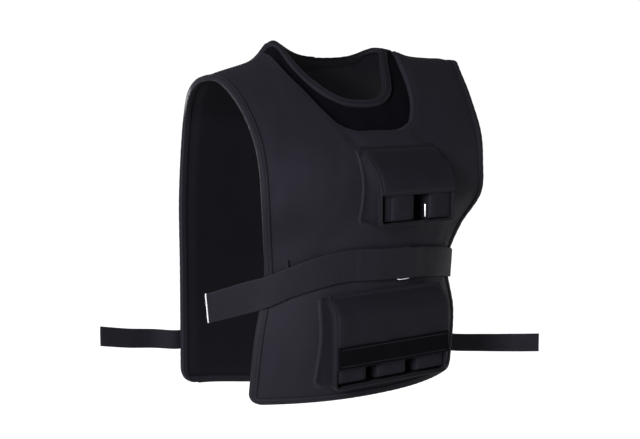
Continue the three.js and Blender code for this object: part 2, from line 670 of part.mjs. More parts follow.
function pouchTray(pouch, flare) {
  const left = pouch.middle - pouch.half;
  const right = pouch.middle + pouch.half;
  const wall = GUSSET_THICKNESS;
  const draft = 0.4;
  const spreadAt = (z) => flare * ((pouch.top - z) / (pouch.top - pouch.bottom) - 0.5);
  const inside = spread(left + wall + draft, right - wall - draft, 7).map((x) => () => x);
  const columns = [
    (z) => left - draft - Math.max(0, spreadAt(z)),
    () => left,
    () => left + wall,
    ...inside,
    () => right - wall,
    () => right,
    (z) => right + draft + Math.max(0, spreadAt(z)),
  ];
  const shelf = pouch.bottom + SHELF_THICKNESS;
  const overFold = spread(pouch.top - TRAY_TOP_INSET, pouch.fold, 5);
  const below = spread(mix(pouch.fold, shelf + draft, 0.2), shelf + draft, 4);
  const rows = [...overFold, ...below, shelf, pouch.bottom];
  const front = (x, z, j) => {
    const surface = frontY(x, z);
    if (j === 0 || j === columns.length - 1) return surface - SEAM_STAND;
    const onWall = j < 3 || j > columns.length - 4 || z <= shelf;
    return onWall ? Math.min(pouchFace(pouch, x, z), surface - BACKING) : surface - BACKING;
  };
  return relief(columns, rows, front, (x, z) => frontY(x, z) + INTO_PANEL);
}

function pouchFlap(pouch) {
  const reach = pouch.half + FLAP_OVERHANG;
  const columns = spread(pouch.middle - reach, pouch.middle + reach, 9).map((x) => () => x);
  const end = pouch.flapEnd;
  const straight = pouch.fold - FOLD_BEND;
  const rows = [...spread(pouch.top, pouch.fold, 7), ...(end < straight ? spread(straight, end, 4) : [end])];
  const back = (x, z) => Math.min(pouchFace(pouch, x, z), frontY(x, z)) - 2 * GAP;
  return relief(columns, rows, (x, z) => back(x, z) - FLAP_THICKNESS, (x, z) => back(x, z));
}

function sleeves(pouch, set, stem) {
  return Array.from({ length: set.count }, (_, i) => {
    const middle = pouch.middle + pouch.half * (set.firstShare + i * set.pitchShare);
    const half = (pouch.half * set.widthShare) / 2;
    const columns = spread(middle - half, middle + half, 4).map((x) => () => x);
    const rows = spread(pouch.top - set.drop, pouch.bottom + set.rise, 5);
    const front = (x, z) => pouchFace(pouch, x, z) + SLEEVE_SETBACK;
    const shape = relief(columns, rows, front, (x, z) => frontY(x, z) - BACKING - SLEEVE_BACK_GAP);
    return cloth(`${stem}_${i + 1}`, shape);
  });
}

function hookStrip() {
  const reach = BELLY_POUCH.half + FLAP_OVERHANG;
  const columns = spread(BELLY_POUCH.middle - reach, BELLY_POUCH.middle + reach, 2).map((x) => () => x);
  const seat = -BELLY_POUCH.face - 3 * GAP - FLAP_THICKNESS;
  const top = BELLY_POUCH.top - HOOK_STRIP_DROP;
  const rows = [top, top - HOOK_STRIP_HEIGHT];
  return relief(columns, rows, () => seat - HOOK_STRIP_THICKNESS, () => seat);
}

// Straps: stations with the two edges of the webbing's inner face and its outward normal
function webbing(stations, thickness) {
  const edge = (side) => (i, j) => {
    const { edges, out } = stations[i];
    return edges[j].clone().addScaledVector(out, side * thickness);
  };
  return slab(stations.length, 2, edge(1), edge(0));
}

// Edges of a strap that stands upright, or leans, about a middle line
function upright(points, leans, width) {
  return points.map((point, i) => {
    const before = points[Math.max(0, i - 1)];
    const after = points[Math.min(points.length - 1, i + 1)];
    const forward = after.clone().sub(before).normalize();
    const up = new THREE.Vector3(0, 0, 1).applyAxisAngle(forward, THREE.MathUtils.degToRad(leans[i]));
    return [point.clone().addScaledVector(up, -width / 2), point.clone().addScaledVector(up, width / 2)];
  });
}

function stationsAlong(edges) {
  return edges.map((pair, i) => {
    const before = edges[Math.max(0, i - 1)][0];
    const after = edges[Math.min(edges.length - 1, i + 1)][0];
    const up = pair[1].clone().sub(pair[0]);
    return { edges: pair, out: after.clone().sub(before).cross(up).normalize() };
  });
}

// Both edges of a strap that lies on a panel
function lyingOn(face, x, z, width, lift) {
  return [z - width / 2, z + width / 2].map((height) => onTorso(x, runAtHeight(x, height, face), lift));
}

const WAIST_Z = -SECTIONS.find((row) => row.name === "waist").height * FRONT_DROP;

// How far the belt stands off the panel: it rides over the ring and its tab
function beltLift(x) {
  const high = RING_LIFT + RING_WIRE + TAB_THICKNESS + 3 * GAP;
  const reach = RING_WIDTH / 2 + RING_WIRE + (x < RING_X ? TAB_LENGTH : 0);
  return mix(high, BELT_LIFT, smooth((Math.abs(x - RING_X) - reach) / BELT_SETTLE));
}

const middleOf = ([low, high]) => low.clone().add(high).multiplyScalar(0.5);

function beltStations() {
  const edgeX = halfWidth(runAtHeight(0, WAIST_Z, "front"), 1);
  const rows = BELT_ON_FRONT.map((row) => [edgeX * row.across, -row.height * FRONT_DROP]);
  const stops = rows.map((row) => row[0]);
  const onFront = spread(stops[0], stops[stops.length - 1], 26).map((x) => {
    return lyingOn("front", x, through(stops, rows, x)[1], BELT_WIDTH, beltLift(x));
  });
  const start = middleOf(onFront[0]);
  const free = BELT_FREE_END.map(({ out, back, drop }) => {
    return new THREE.Vector3(-out, back, -drop).multiplyScalar(BELT_FREE_LENGTH).add(start);
  });
  const leans = [0, ...BELT_FREE_END.map((row) => row.lean)];
  const freeEdges = upright([start, ...free], leans, BELT_WIDTH).slice(1).reverse();

  const leave = middleOf(onFront[onFront.length - 1]);
  const backEdge = halfWidth(runAtHeight(0, leave.z, "back"), 1);
  const backLift = 2 * BINDING_PLAY + BINDING_THICKNESS + 2 * GAP;
  const sewn = [0, 0.5, 1].map((share) => {
    const x = backEdge - BINDING_WIDTH / 2 - share * BELT_SEWN_LENGTH;
    return lyingOn("back", x, leave.z, BELT_WIDTH, backLift);
  });
  const arrive = onTorso(backEdge, runAtHeight(backEdge, leave.z, "back"), 0);
  const round = BELT_TO_BACK.map(({ along, bow }) => {
    return leave.clone().lerp(arrive, along).add(new THREE.Vector3(bow * BELT_WIDTH, 0, 0));
  });
  return stationsAlong([...freeEdges, ...onFront, ...upright(round, round.map(() => 0), BELT_WIDTH), ...sewn]);
}

function rearStrapStations() {
  const edge = halfWidth(runAtHeight(0, STRAP_MIDDLE_Z, "back"), 1);
  const overBinding = 2 * BINDING_PLAY + BINDING_THICKNESS + STRAP_LIFT;
  const onBack = spread(edge + STRAP_PAST_EDGE, -edge - STRAP_PAST_EDGE, 21).map((x) => {
    const climbed = (Math.abs(x) - edge + STRAP_CLIMB_START) / STRAP_CLIMB;
    const lift = mix(STRAP_LIFT, overBinding, smooth(climbed));
    return lyingOn("back", x, STRAP_MIDDLE_Z - STRAP_SLOPE * x, STRAP_WIDTH, lift);
  });
  const ends = (root, rows, sign, reach) => rows.map(({ out, forward, rise }) => {
    return new THREE.Vector3(sign * out, -forward, rise).multiplyScalar(reach).add(root);
  });
  const level = (points) => upright(points, points.map(() => 0), STRAP_WIDTH);
  const left = ends(middleOf(onBack[0]), STRAP_LEFT_END, 1, STRAP_LEFT_REACH).reverse();
  const right = ends(middleOf(onBack[onBack.length - 1]), STRAP_RIGHT_END, -1, STRAP_RIGHT_REACH);
  return stationsAlong([...level(left), ...onBack, ...level(right)]);
}

// The ring lies against the front panel under the belt; its points follow the panel's surface
function ring() {
  const run = runAtHeight(RING_X, RING_Z, "front");
  const half = { x: RING_WIDTH / 2, s: RING_HEIGHT / 2 };
  const perCorner = 4;
  const stations = [];
  for (const [sx, ss, start] of [[1, 1, 0], [-1, 1, 1], [-1, -1, 2], [1, -1, 3]]) {
    for (let i = 0; i <= perCorner; i += 1) {
      const turn = (start + i / perCorner) * (Math.PI / 2);
      stations.push({
        x: sx * (half.x - RING_CORNER) + RING_CORNER * Math.cos(turn),
        s: ss * (half.s - RING_CORNER) + RING_CORNER * Math.sin(turn),
        nx: Math.cos(turn),
        ns: Math.sin(turn),
      });
    }
  }
  const sides = 6;
  const vertices = [];
  const triangles = [];
  for (const { x, s, nx, ns } of stations) {
    for (let k = 0; k < sides; k += 1) {
      const turn = (k / sides) * 2 * Math.PI;
      const out = (RING_WIRE / 2) * Math.cos(turn);
      const lift = RING_LIFT + RING_WIRE / 2 + (RING_WIRE / 2) * Math.sin(turn);
      vertices.push(...onTorso(RING_X + x + nx * out, run + s + ns * out, lift).toArray());
    }
  }
  const count = stations.length;
  for (let i = 0; i < count; i += 1) {
    for (let k = 0; k < sides; k += 1) {
      const a = i * sides + k;
      const b = i * sides + ((k + 1) % sides);
      const c = ((i + 1) % count) * sides + ((k + 1) % sides);
      const d = ((i + 1) % count) * sides + k;
      triangles.push(a, b, c, a, c, d);
    }
  }
  return { vertices, triangles };
}

// A folded webbing tab that holds the ring's inner bar, sewn flat to the panel
function ringTab() {
  const run = runAtHeight(RING_X, RING_Z, "front");
  const barX = RING_X - RING_WIDTH / 2;
  const barLift = RING_LIFT + RING_WIRE / 2;
  const inside = RING_WIRE / 2 + 1.5 * GAP + TAB_THICKNESS / 2;
  const profile = [];
  const tail = barX - TAB_LENGTH;
  profile.push([tail, barLift - inside]);
  profile.push([barX - TAB_FOLD, barLift - inside]);
  for (let i = 0; i <= 6; i += 1) {
    const turn = -Math.PI / 2 + (i / 6) * Math.PI;
    profile.push([barX + inside * Math.cos(turn), barLift + inside * Math.sin(turn)]);
  }
  profile.push([barX - TAB_FOLD, barLift + inside]);
  profile.push([tail, barLift - inside + TAB_THICKNESS + 2 * GAP]);
  const layer = (grow) => (i, j) => {
    const [x, lift] = profile[i];
    const before = profile[Math.max(0, i - 1)];
    const after = profile[Math.min(profile.length - 1, i + 1)];
    const dx = after[0] - before[0];
    const dl = after[1] - before[1];
    const length = Math.hypot(dx, dl);
    const s = run + (j ? 0.5 : -0.5) * TAB_WIDTH;
    return onTorso(x + (grow * dl) / length, s, lift - (grow * dx) / length);
  };
  return slab(profile.length, 2, layer(TAB_THICKNESS / 2), layer(-TAB_THICKNESS / 2));
}

const overFront = toManifold(panel("front", GAP));
const overBack = toManifold(panel("back", 2 * GAP));

const vest = new THREE.Group();
vest.add(cloth("front_panel", panel("front")));
vest.add(cloth("back_panel", panel("back")));
vest.add(cloth("neck_yoke", carved(yoke(), overFront), LINING));
vest.add(cloth("neck_binding", carved(neckBinding(), overBack), WEBBING));
vest.add(cloth("front_binding", outlineBinding("front"), WEBBING));
vest.add(cloth("back_binding", outlineBinding("back"), WEBBING));

vest.add(cloth("chest_pouch", carved(pouchTray(CHEST_POUCH, GUSSET_FLARE.chest), overFront)));
vest.add(cloth("chest_flap", carved(pouchFlap(CHEST_POUCH), overFront)));
vest.add(...sleeves(CHEST_POUCH, CHEST_SLEEVES, "chest_sleeve"));
vest.add(cloth("belly_pouch", carved(pouchTray(BELLY_POUCH, GUSSET_FLARE.belly), overFront)));
vest.add(cloth("belly_flap", carved(pouchFlap(BELLY_POUCH), overFront)));
vest.add(...sleeves(BELLY_POUCH, BELLY_SLEEVES, "belly_sleeve"));
vest.add(cloth("belly_hook_strip", hookStrip(), HOOK));

vest.add(cloth("waist_belt", webbing(beltStations(), BELT_THICKNESS), WEBBING));
vest.add(cloth("belt_ring", ring(), STEEL));
vest.add(cloth("ring_tab", carved(ringTab(), overFront), WEBBING));
vest.add(cloth("rear_strap", webbing(rearStrapStations(), STRAP_THICKNESS), WEBBING));

export default vest;
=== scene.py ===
"""Looks of a worn, padded weighted vest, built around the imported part.

The shapes follow the part's own torso surface: x runs across the vest and s along it, from the front hem (s < 0)
over the shoulder crest (s = 0) to the back hem. Lengths are in millimetres until a mesh is made, in metres.
"""

import math
from types import SimpleNamespace as Sizes

import bmesh
import bpy
import numpy as np
from mathutils import Matrix, Vector


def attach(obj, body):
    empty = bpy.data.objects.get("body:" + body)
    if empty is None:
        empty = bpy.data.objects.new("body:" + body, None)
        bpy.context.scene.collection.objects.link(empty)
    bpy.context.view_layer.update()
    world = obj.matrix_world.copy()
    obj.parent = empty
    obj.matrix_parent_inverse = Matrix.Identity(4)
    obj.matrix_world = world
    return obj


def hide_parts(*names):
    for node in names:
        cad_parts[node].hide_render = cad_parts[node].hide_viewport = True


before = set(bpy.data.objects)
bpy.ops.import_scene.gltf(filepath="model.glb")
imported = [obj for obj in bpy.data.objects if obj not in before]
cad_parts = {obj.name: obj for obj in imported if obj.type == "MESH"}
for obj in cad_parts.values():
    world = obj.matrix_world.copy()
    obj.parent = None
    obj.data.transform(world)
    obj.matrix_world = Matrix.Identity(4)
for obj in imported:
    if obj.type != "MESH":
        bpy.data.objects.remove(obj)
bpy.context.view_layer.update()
MM = 0.001

# The part's driving sizes
FRONT_DROP, BACK_DROP = 555, 593
CHEST_DEPTH, BACK_DEPTH = 170, 148
HALF_WIDTH, SIDE_WRAP, SHOULDER_FALL = 222, 62, 50
NECK_RISE, NECK_RISE_REACH, NAPE_RISE_REACH, LEFT_NECK_RISE, LEFT_NECK_RISE_REACH = 27, 25, 70, 18, 32
LEFT_SHOULDER_LIFT, SHOULDER_REACH = 30, 105
LEFT_SHOULDER_FLARE, LEFT_FLARE_RUN, LEFT_FLARE_REACH = 34, 35, 75
PANEL_THICKNESS, EDGE_THICKNESS, EDGE_TAPER, GAP = 9, 4, 20, 0.3
FRONT_CORNER, BACK_CORNER, BACK_TAIL = 20, 32, 26
NECK_HALF, FRONT_NECK_RUN, BACK_NECK_RUN = 106, 128, 44
SCOOP_HALF, SCOOP_RUN, SCOOP_EDGE_THICKNESS = 132, 193, 4
YOKE_THICKNESS, YOKE_TUCK, YOKE_GAP, CREST_BLEND, NAPE_BLEND = 4, 15, 1.5, 90, 30
BINDING_WIDTH, BINDING_THICKNESS, BINDING_INSET = 11, 1.4, 2.4
CHEST_POUCH = Sizes(
    middle=21, half=71, top=-164, fold=-230, bottom=-277, face=209, top_face=0, flap_end=-231, flare=-12, tuck=9,
)
BELLY_POUCH = Sizes(
    middle=3, half=109, top=-388, fold=-422, bottom=-527, face=172, top_face=153, flap_end=-495, flare=10, tuck=0,
)
BACKING, GUSSET_THICKNESS, FLAP_THICKNESS, FLAP_OVERHANG = 3.2, 2.5, 4, 1.5
CHEST_SLEEVES = Sizes(count=2, pitch=73, width=44, first=-27.5, top=-190, bottom=-272)
BELLY_SLEEVES = Sizes(count=3, pitch=77.5, width=57, first=-77.5, top=-430, bottom=-519)
SLEEVE_SETBACK = 1.5
FIRST_CHEST_SLEEVE = CHEST_POUCH.middle + CHEST_SLEEVES.first
HOOK_STRIP_TOP, HOOK_STRIP_HEIGHT, HOOK_STRIP_THICKNESS = -460, 33, 1.6
BELT_WIDTH, BELT_THICKNESS, BELT_LIFT, BELT_FREE_LENGTH, BELT_SEWN_LENGTH = 50, 1.8, 4.2, 65, 46
RING_WIDTH, RING_HEIGHT, RING_CORNER, RING_WIRE, RING_X, RING_Z, RING_LIFT = 30, 50, 7, 3, 41, -348, 2.4
TAB_WIDTH, TAB_THICKNESS, TAB_LENGTH = 25, 1.2, 34
STRAP_WIDTH, STRAP_THICKNESS, STRAP_LIFT, STRAP_MIDDLE_Z, STRAP_SLOPE = 32, 1.6, 1.2, -511, 0.1
STRAP_RIGHT_REACH, STRAP_LEFT_REACH = 143, 284

# side, depth, height, width, wrap, fall, power: as in the part's source
SECTIONS = [
    (-1, 0.806, 1.0, 0.914, 1.0, 0, 2.2),
    (-1, 0.876, 0.811, 0.892, 0.98, 0, 2.7),
    (-1, 0.859, 0.64, 0.82, 0.88, 0, 2.5),
    (-1, 0.894, 0.541, 0.874, 0.68, 0, 2),
    (-1, 0.988, 0.441, 0.96, 0.48, 0, 2),
    (-1, 1.0, 0.351, 0.973, 0.52, 0, 2),
    (-1, 0.771, 0.231, 0.99, 0.145, 0.13, 2),
    (-1, 0.571, 0.151, 1.0, 0.13, 0.21, 2),
    (-1, 0.306, 0.072, 1.01, 0.26, 0.42, 1.8),
    (1, 0, 0.0085, 1.05, 0, 1.05, 1.35),
    (1, 0.405, 0.079, 1.045, 0.32, 0.5, 1.6),
    (1, 0.919, 0.202, 0.905, 0.22, 0, 2),
    (1, 1.0, 0.41, 0.941, 0.35, 0, 2),
    (1, 0.986, 0.632, 0.95, 0.35, 0, 2),
    (1, 0.986, 1.0, 0.96, 0.35, 0, 2),
]
CREST, WAIST = 9, 2
# across, along: shares of each curve's half width and run
NECK_CURVE = [(1.0, 0), (0.79, 0.37), (0.65, 0.64), (0.49, 0.85), (0.31, 0.96), (0, 1.0)]
BACK_NECK_CURVE = [(1.0, 0), (0.76, 0.52), (0.43, 0.86), (0, 1.0)]
SCOOP_CURVE = [
    (1.0, 0), (0.93, 0.24), (0.86, 0.44), (0.79, 0.58), (0.72, 0.71), (0.63, 0.83), (0.54, 0.92), (0.415, 0.975),
    (0, 1.0),
]
# across the waist, height as a share of FRONT_DROP
BELT_ON_FRONT = [
    (-1.0, 0.683), (-0.82, 0.654), (-0.63, 0.632), (-0.38, 0.618), (0, 0.62), (0.5, 0.631), (0.87, 0.65),
    (1.0, 0.662),
]
BELT_FREE_END = [(0.31, 0.25, 0.11, -6), (0.65, 0.57, 0.25, -13), (1, 0.92, 0.4, -20)]  # out, back, drop, lean
BELT_TO_BACK = [(0.1, 0.2), (0.33, 0.22), (0.6, 0.2), (0.85, 0.18), (0.97, 0.12), (1.02, 0.05)]  # along, bow
STRAP_RIGHT_END = [(0.27, -0.07, 0.035), (0.63, 0, 0.1), (1, 0.1, 0.19)]  # out, forward, rise
STRAP_LEFT_END = [
    (0.08, 0.04, -0.007), (0.17, 0.19, -0.014), (0.23, 0.4, -0.021), (0.31, 0.63, 0.007), (0.37, 0.82, 0.035),
    (0.43, 1, 0.063),
]


def smooth(t):
    k = np.clip(t, 0, 1)
    return k * k * (3 - 2 * k)


def bell(t):
    return np.exp(-np.square(t))


def mix(a, b, t):
    return a + (b - a) * t


def distances(points):
    """How far along a row of points each of them lies."""
    return np.concatenate([[0], np.cumsum(np.linalg.norm(np.diff(points, axis=0), axis=1))])


def reading(at, rows, t):
    return np.array([np.interp(t, at, column) for column in np.transpose(rows)])


def rounded(from_side, from_end, radius):
    """Distances from the two sides of a corner, drawn in where the corner is round."""
    a, b = np.clip(1 - from_side / radius, 0, 1), np.clip(1 - from_end / radius, 0, 1)
    corner = (a > 0) & (b > 0)
    side = np.where(corner, radius * (1 - a * np.sqrt(1 - b * b / 2)), from_side)
    return side, np.where(corner, radius * (1 - b * np.sqrt(1 - a * a / 2)), from_end)


def nearest(gaps, allowed):
    """Where the gap is smallest, of the places that are allowed."""
    return int(np.argmin(np.where(allowed, np.abs(gaps), np.inf)))


class Curve:
    """Smooth curve through rows of numbers."""

    def __init__(self, stops, rows):
        self.stops, self.rows = np.array(stops, float), np.array(rows, float)
        step = np.diff(self.stops)[:, None]
        rate = np.diff(self.rows, axis=0) / step
        self.slope = np.empty_like(self.rows)
        self.slope[0], self.slope[-1] = rate[0], rate[-1]
        self.slope[1:-1] = (rate[:-1] * step[1:] + rate[1:] * step[:-1]) / (step[:-1] + step[1:])

    def __call__(self, t):
        t = np.asarray(t, float)
        i = np.clip(np.searchsorted(self.stops, t) - 1, 0, len(self.stops) - 2)
        h = (self.stops[i + 1] - self.stops[i])[..., None]
        u = (t - self.stops[i])[..., None] / h
        a, b = 2 * u**3 - 3 * u**2 + 1, u**3 - 2 * u**2 + u
        c, d = 3 * u**2 - 2 * u**3, u**3 - u**2
        return a * self.rows[i] + b * h * self.slope[i] + c * self.rows[i + 1] + d * h * self.slope[i + 1]


# Torso surface
PROFILE = [
    (side * depth * (CHEST_DEPTH if side < 0 else BACK_DEPTH), -height * (FRONT_DROP if side < 0 else BACK_DROP),
     width * HALF_WIDTH, -side * wrap * SIDE_WRAP, -fall * SHOULDER_FALL, power)
    for side, depth, height, width, wrap, fall, power in SECTIONS
]
RUNS = distances(np.array(PROFILE)[:, :2])
STOPS = RUNS - RUNS[CREST]
HEM = {"front": STOPS[0], "back": STOPS[-1]}
SECTION = Curve(STOPS, PROFILE)


def half_width(s, side):
    flare = LEFT_SHOULDER_FLARE * bell((np.asarray(s) + LEFT_FLARE_RUN) / LEFT_FLARE_REACH)
    return SECTION(s)[..., 2] + np.where(np.asarray(side) > 0, flare, 0)


def surface(x, s):
    x, s = np.broadcast_arrays(np.asarray(x, float), np.asarray(s, float))
    y, z, width, wrap, fall, power = np.moveaxis(SECTION(s), -1, 0)
    k = np.abs(x / width) ** power
    rise = np.where(x < 0, NECK_RISE, LEFT_NECK_RISE)
    outward = np.where(x < 0, NECK_RISE_REACH, LEFT_NECK_RISE_REACH)
    at_nape = (-NECK_HALF < x) & (x < 0)
    reach = np.where(at_nape, mix(outward, NAPE_RISE_REACH, smooth(s / NAPE_BLEND)), outward)
    collar = rise * bell((np.abs(x) - NECK_HALF) / reach) * bell(s / (2 * NECK_RISE_REACH))
    share = np.maximum(0, (x - NECK_HALF) / (width - NECK_HALF))
    left = LEFT_SHOULDER_LIFT * share * bell(s / SHOULDER_REACH)
    return np.stack([x, y + wrap * k, z + fall * k + collar + left], -1)


def unit(v):
    return v / np.maximum(np.linalg.norm(v, axis=-1, keepdims=True), 1e-9)


def normal(x, s):
    e = 0.5
    x, s = np.broadcast_arrays(np.asarray(x, float), np.asarray(s, float))
    return unit(np.cross(surface(x + e, s) - surface(x - e, s), surface(x, s + e) - surface(x, s - e)))


def on_torso(x, s, lift=0.0):
    return surface(x, s) + normal(x, s) * np.asarray(lift, float)[..., None]


def run_at_height(x, z, face):
    x, z = np.broadcast_arrays(np.asarray(x, float), np.asarray(z, float))
    near, far = np.zeros(x.shape), np.full(x.shape, float(HEM[face]))
    for _ in range(26):
        middle = (near + far) / 2
        above = surface(x, middle)[..., 2] > z
        near, far = np.where(above, middle, near), np.where(above, far, middle)
    return near


def front_y(x, z):
    return surface(x, run_at_height(x, z, "front"))[..., 1]


def on_front(x, z, lift):
    return on_torso(x, run_at_height(x, z, "front"), lift)


# Paths in the (x, s) plane
class Path:
    def __init__(self, points):
        self.points = np.array(points, float)
        self.at = distances(self.points)

    def __call__(self, fraction):
        target = np.asarray(fraction, float) * self.at[-1]
        return np.stack([np.interp(target, self.at, self.points[:, k]) for k in (0, 1)], -1)

    def beside(self, fraction, distance):
        """A point of the path, moved away from the neck opening."""
        e, fraction = 0.004, np.asarray(fraction, float)
        step = self(np.minimum(1, fraction + e)) - self(np.maximum(0, fraction - e))
        turn = -np.sign(self.points[len(self.points) // 2, 1])
        away = np.stack([step[..., 1] * turn, -step[..., 0] * turn], -1)
        away[..., 1] = np.where((fraction <= 0) | (fraction >= 1), 0, away[..., 1])
        return self(fraction) + unit(away) * np.asarray(distance, float)[..., None]


def neck_path(rows, half, run):
    right = [(-across * half, along * run) for across, along in rows]
    points = np.array(right + [(-x, s) for x, s in right[-2::-1]])
    stops = distances(points)
    return Path(Curve(stops, points)(np.linspace(0, stops[-1], 241)))


NECK = {
    "front": neck_path(NECK_CURVE, NECK_HALF, -FRONT_NECK_RUN),
    "back": neck_path(BACK_NECK_CURVE, NECK_HALF, BACK_NECK_RUN),
}
SCOOP = neck_path(SCOOP_CURVE, SCOOP_HALF, -SCOOP_RUN)


def scoop_thickness(s):
    return mix(PANEL_THICKNESS, SCOOP_EDGE_THICKNESS, smooth((s + CREST_BLEND) / CREST_BLEND))


def neck_level(s):
    s = np.asarray(s, float)
    behind = -(SCOOP_EDGE_THICKNESS + YOKE_GAP) * (1 - smooth(s / NAPE_BLEND))
    return np.where(s <= 0, -(scoop_thickness(s) + YOKE_GAP), behind)


# Meshes
def finish_mesh(name, vertices, faces, uv=None):
    mesh = bpy.data.meshes.new(name)
    mesh.from_pydata((np.asarray(vertices, float) * MM).tolist(), [], [list(map(int, f)) for f in faces])
    if uv is not None:
        layer = mesh.uv_layers.new(name="cloth")
        loops = np.zeros(len(mesh.loops), np.int32)
        mesh.loops.foreach_get("vertex_index", loops)
        layer.data.foreach_set("uv", (np.asarray(uv, float)[loops] * MM).astype(np.float32).ravel())
    mesh.polygons.foreach_set("use_smooth", [True] * len(mesh.polygons))
    mesh.validate()
    obj = bpy.data.objects.new(name, mesh)
    bpy.context.scene.collection.objects.link(obj)
    return obj


def grid_cells(rows, cols):
    """The four vertex numbers of each cell of a grid."""
    index = np.arange(rows * cols).reshape(rows, cols)
    return np.stack([index[:-1, :-1], index[1:, :-1], index[1:, 1:], index[:-1, 1:]], -1)


def tube_faces(rows, cols, closed=False):
    """Faces round a row of rings, which is joined end to end if closed and capped if not."""
    rings = np.arange(rows * cols).reshape(rows, cols)
    after = np.roll(rings, -1, 0) if closed else rings[1:]
    here = rings[:len(after)]
    faces = np.stack([here, after, np.roll(after, -1, 1), np.roll(here, -1, 1)], -1).reshape(-1, 4).tolist()
    return faces if closed else [*faces, rings[0].tolist(), rings[-1][::-1].tolist()]


def shell(name, outer, inner, uv, there=None, rim=0.5):
    """A closed skin over a grid, with rounded rims. rim is the rim's bulge as a share of the thickness."""
    cells = grid_cells(*outer.shape[:2])
    quads = cells.reshape(-1, 4) if there is None else cells[there]
    n = outer.shape[0] * outer.shape[1]
    faces = [*quads.tolist(), *(quads[:, ::-1] + n).tolist()]
    edges = {}
    for quad in quads.tolist():
        for k in range(4):
            u, v = quad[k], quad[(k + 1) % 4]
            if (v, u) in edges:
                del edges[v, u]
            else:
                edges[u, v] = quad
    flat_outer, flat_inner = outer.reshape(-1, 3), inner.reshape(-1, 3)
    inward = np.zeros_like(flat_outer)
    for (u, v), quad in edges.items():
        centre = flat_outer[quad].mean(0)
        for w in (u, v):
            inward[w] += centre - (flat_outer[u] + flat_outer[v]) / 2
    border = sorted({w for edge in edges for w in edge})
    middle_of = {w: 2 * n + k for k, w in enumerate(border)}
    thick = flat_outer[border] - flat_inner[border]
    away = -inward[border]
    across = unit(thick)
    away -= across * (away * across).sum(-1, keepdims=True)
    bulge = unit(away) * np.linalg.norm(thick, axis=-1, keepdims=True) * rim
    middle = (flat_outer[border] + flat_inner[border]) / 2 + bulge
    for u, v in edges:
        faces.append([v, u, middle_of[u], middle_of[v]])
        faces.append([middle_of[v], middle_of[u], u + n, v + n])
    uv = np.asarray(uv, float).reshape(-1, 2)
    used = np.unique(np.concatenate([np.ravel(f) for f in faces]))
    renumber = np.full(2 * n + len(border), -1)
    renumber[used] = np.arange(len(used))
    vertices = np.concatenate([flat_outer, flat_inner, middle])[used]
    uvs = np.concatenate([uv, uv, uv[border]])[used]
    return finish_mesh(name, vertices, [[renumber[k] for k in f] for f in faces], uvs)


def slab(name, x, z, front_y, rear_y, rim, uv=None):
    """A shell between two surfaces that face the front, over the same x and z. Gives its front points too."""
    front, rear = (np.stack([x, y, z], -1) for y in (front_y, rear_y))
    return shell(name, front, rear, np.stack([x, z], -1) if uv is None else uv(front), rim=rim), front


def cell_steps(grid):
    """Distances along a grid, as cloth coordinates (across, down) for weaves."""
    across = np.linalg.norm(np.diff(grid, axis=1), axis=-1)
    down = np.linalg.norm(np.diff(grid, axis=0), axis=-1)
    u = np.concatenate([np.zeros((grid.shape[0], 1)), np.cumsum(across, 1)], 1)
    v = np.concatenate([np.zeros((1, grid.shape[1])), np.cumsum(down, 0)], 0)
    return np.stack([u - u.mean(), v], -1)


def bumps(x, y, size, seed):
    """Smooth random swells between about -1 and 1, the same each run."""
    rng = np.random.default_rng(seed)
    total = np.zeros(np.broadcast(x, y).shape)
    for _ in range(7):
        angle, phase = rng.uniform(0, 2 * np.pi, 2)
        rate = 2 * np.pi / (size * rng.uniform(0.7, 1.6))
        total += np.sin((x * np.cos(angle) + y * np.sin(angle)) * rate + phase)
    return total / 3.2


STITCH_LENGTH, STITCH_GAP, STITCH_RADIUS, STITCH_SIDES = 3.0, 1.3, 0.42, 5
STITCH_RINGS = [(-0.5, 0.25), (-0.3, 1), (0.3, 1), (0.5, 0.25)]  # along, size
STITCH_SUNK, SUNK_END, SHORT_STITCH = 0.15, 1.6, 2.2


def stitches(name, paths, normals, length=STITCH_LENGTH, sunk=STITCH_SUNK):
    """Thread stitches laid end to end along paths, each given as a row of points and a row of surface normals."""
    vertices, faces = [], []
    turn = 2 * np.pi * np.arange(STITCH_SIDES)[:, None] / STITCH_SIDES
    for points, ups in zip(paths, normals):
        at = distances(points)
        count = int(at[-1] / (length + STITCH_GAP))
        for k in range(count):
            centre = (k + 0.5) * at[-1] / count
            along = unit(reading(at, points, centre + length / 2) - reading(at, points, centre - length / 2))
            up = unit(reading(at, ups, centre))
            round_it = (np.cross(along, up) * np.cos(turn) + up * np.sin(turn)) * STITCH_RADIUS
            rings = np.arange(len(STITCH_RINGS) * STITCH_SIDES).reshape(-1, STITCH_SIDES) + len(vertices)
            for shift, size in STITCH_RINGS:
                middle = reading(at, points, centre) + along * shift * length - up * sunk * (SUNK_END - size)
                vertices.extend(middle + round_it * size)
            turned = np.roll(rings, -1, 1)
            faces += np.stack([rings[:-1], turned[:-1], turned[1:], rings[1:]], -1).reshape(-1, 4).tolist()
            faces += [rings[0][::-1].tolist(), rings[-1].tolist()]
    return dress(finish_mesh(name, vertices, faces), THREAD)


def torso_stitches(name, rows):
    """Stitches along rows of x, s and lift over the torso."""
    stitches(name, [on_torso(*row) for row in rows], [normal(x, s) for x, s, _ in rows])


def facing(lines, direction):
    """The same normal for every point of every line."""
    return [np.tile(direction, (len(line), 1)) for line in lines]


def dress(obj, material, replaces=()):
    obj.data.materials.append(material)
    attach(obj, "root")
    if replaces:
        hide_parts(*replaces)
    return obj


# Materials
def fill(tree, target, inputs):
    """Sets a node's inputs, each to a plain value or to another node's output."""
    for key, value in inputs.items():
        if isinstance(value, bpy.types.NodeSocket):
            tree.links.new(value, target.inputs[key])
        else:
            target.inputs[key].default_value = value


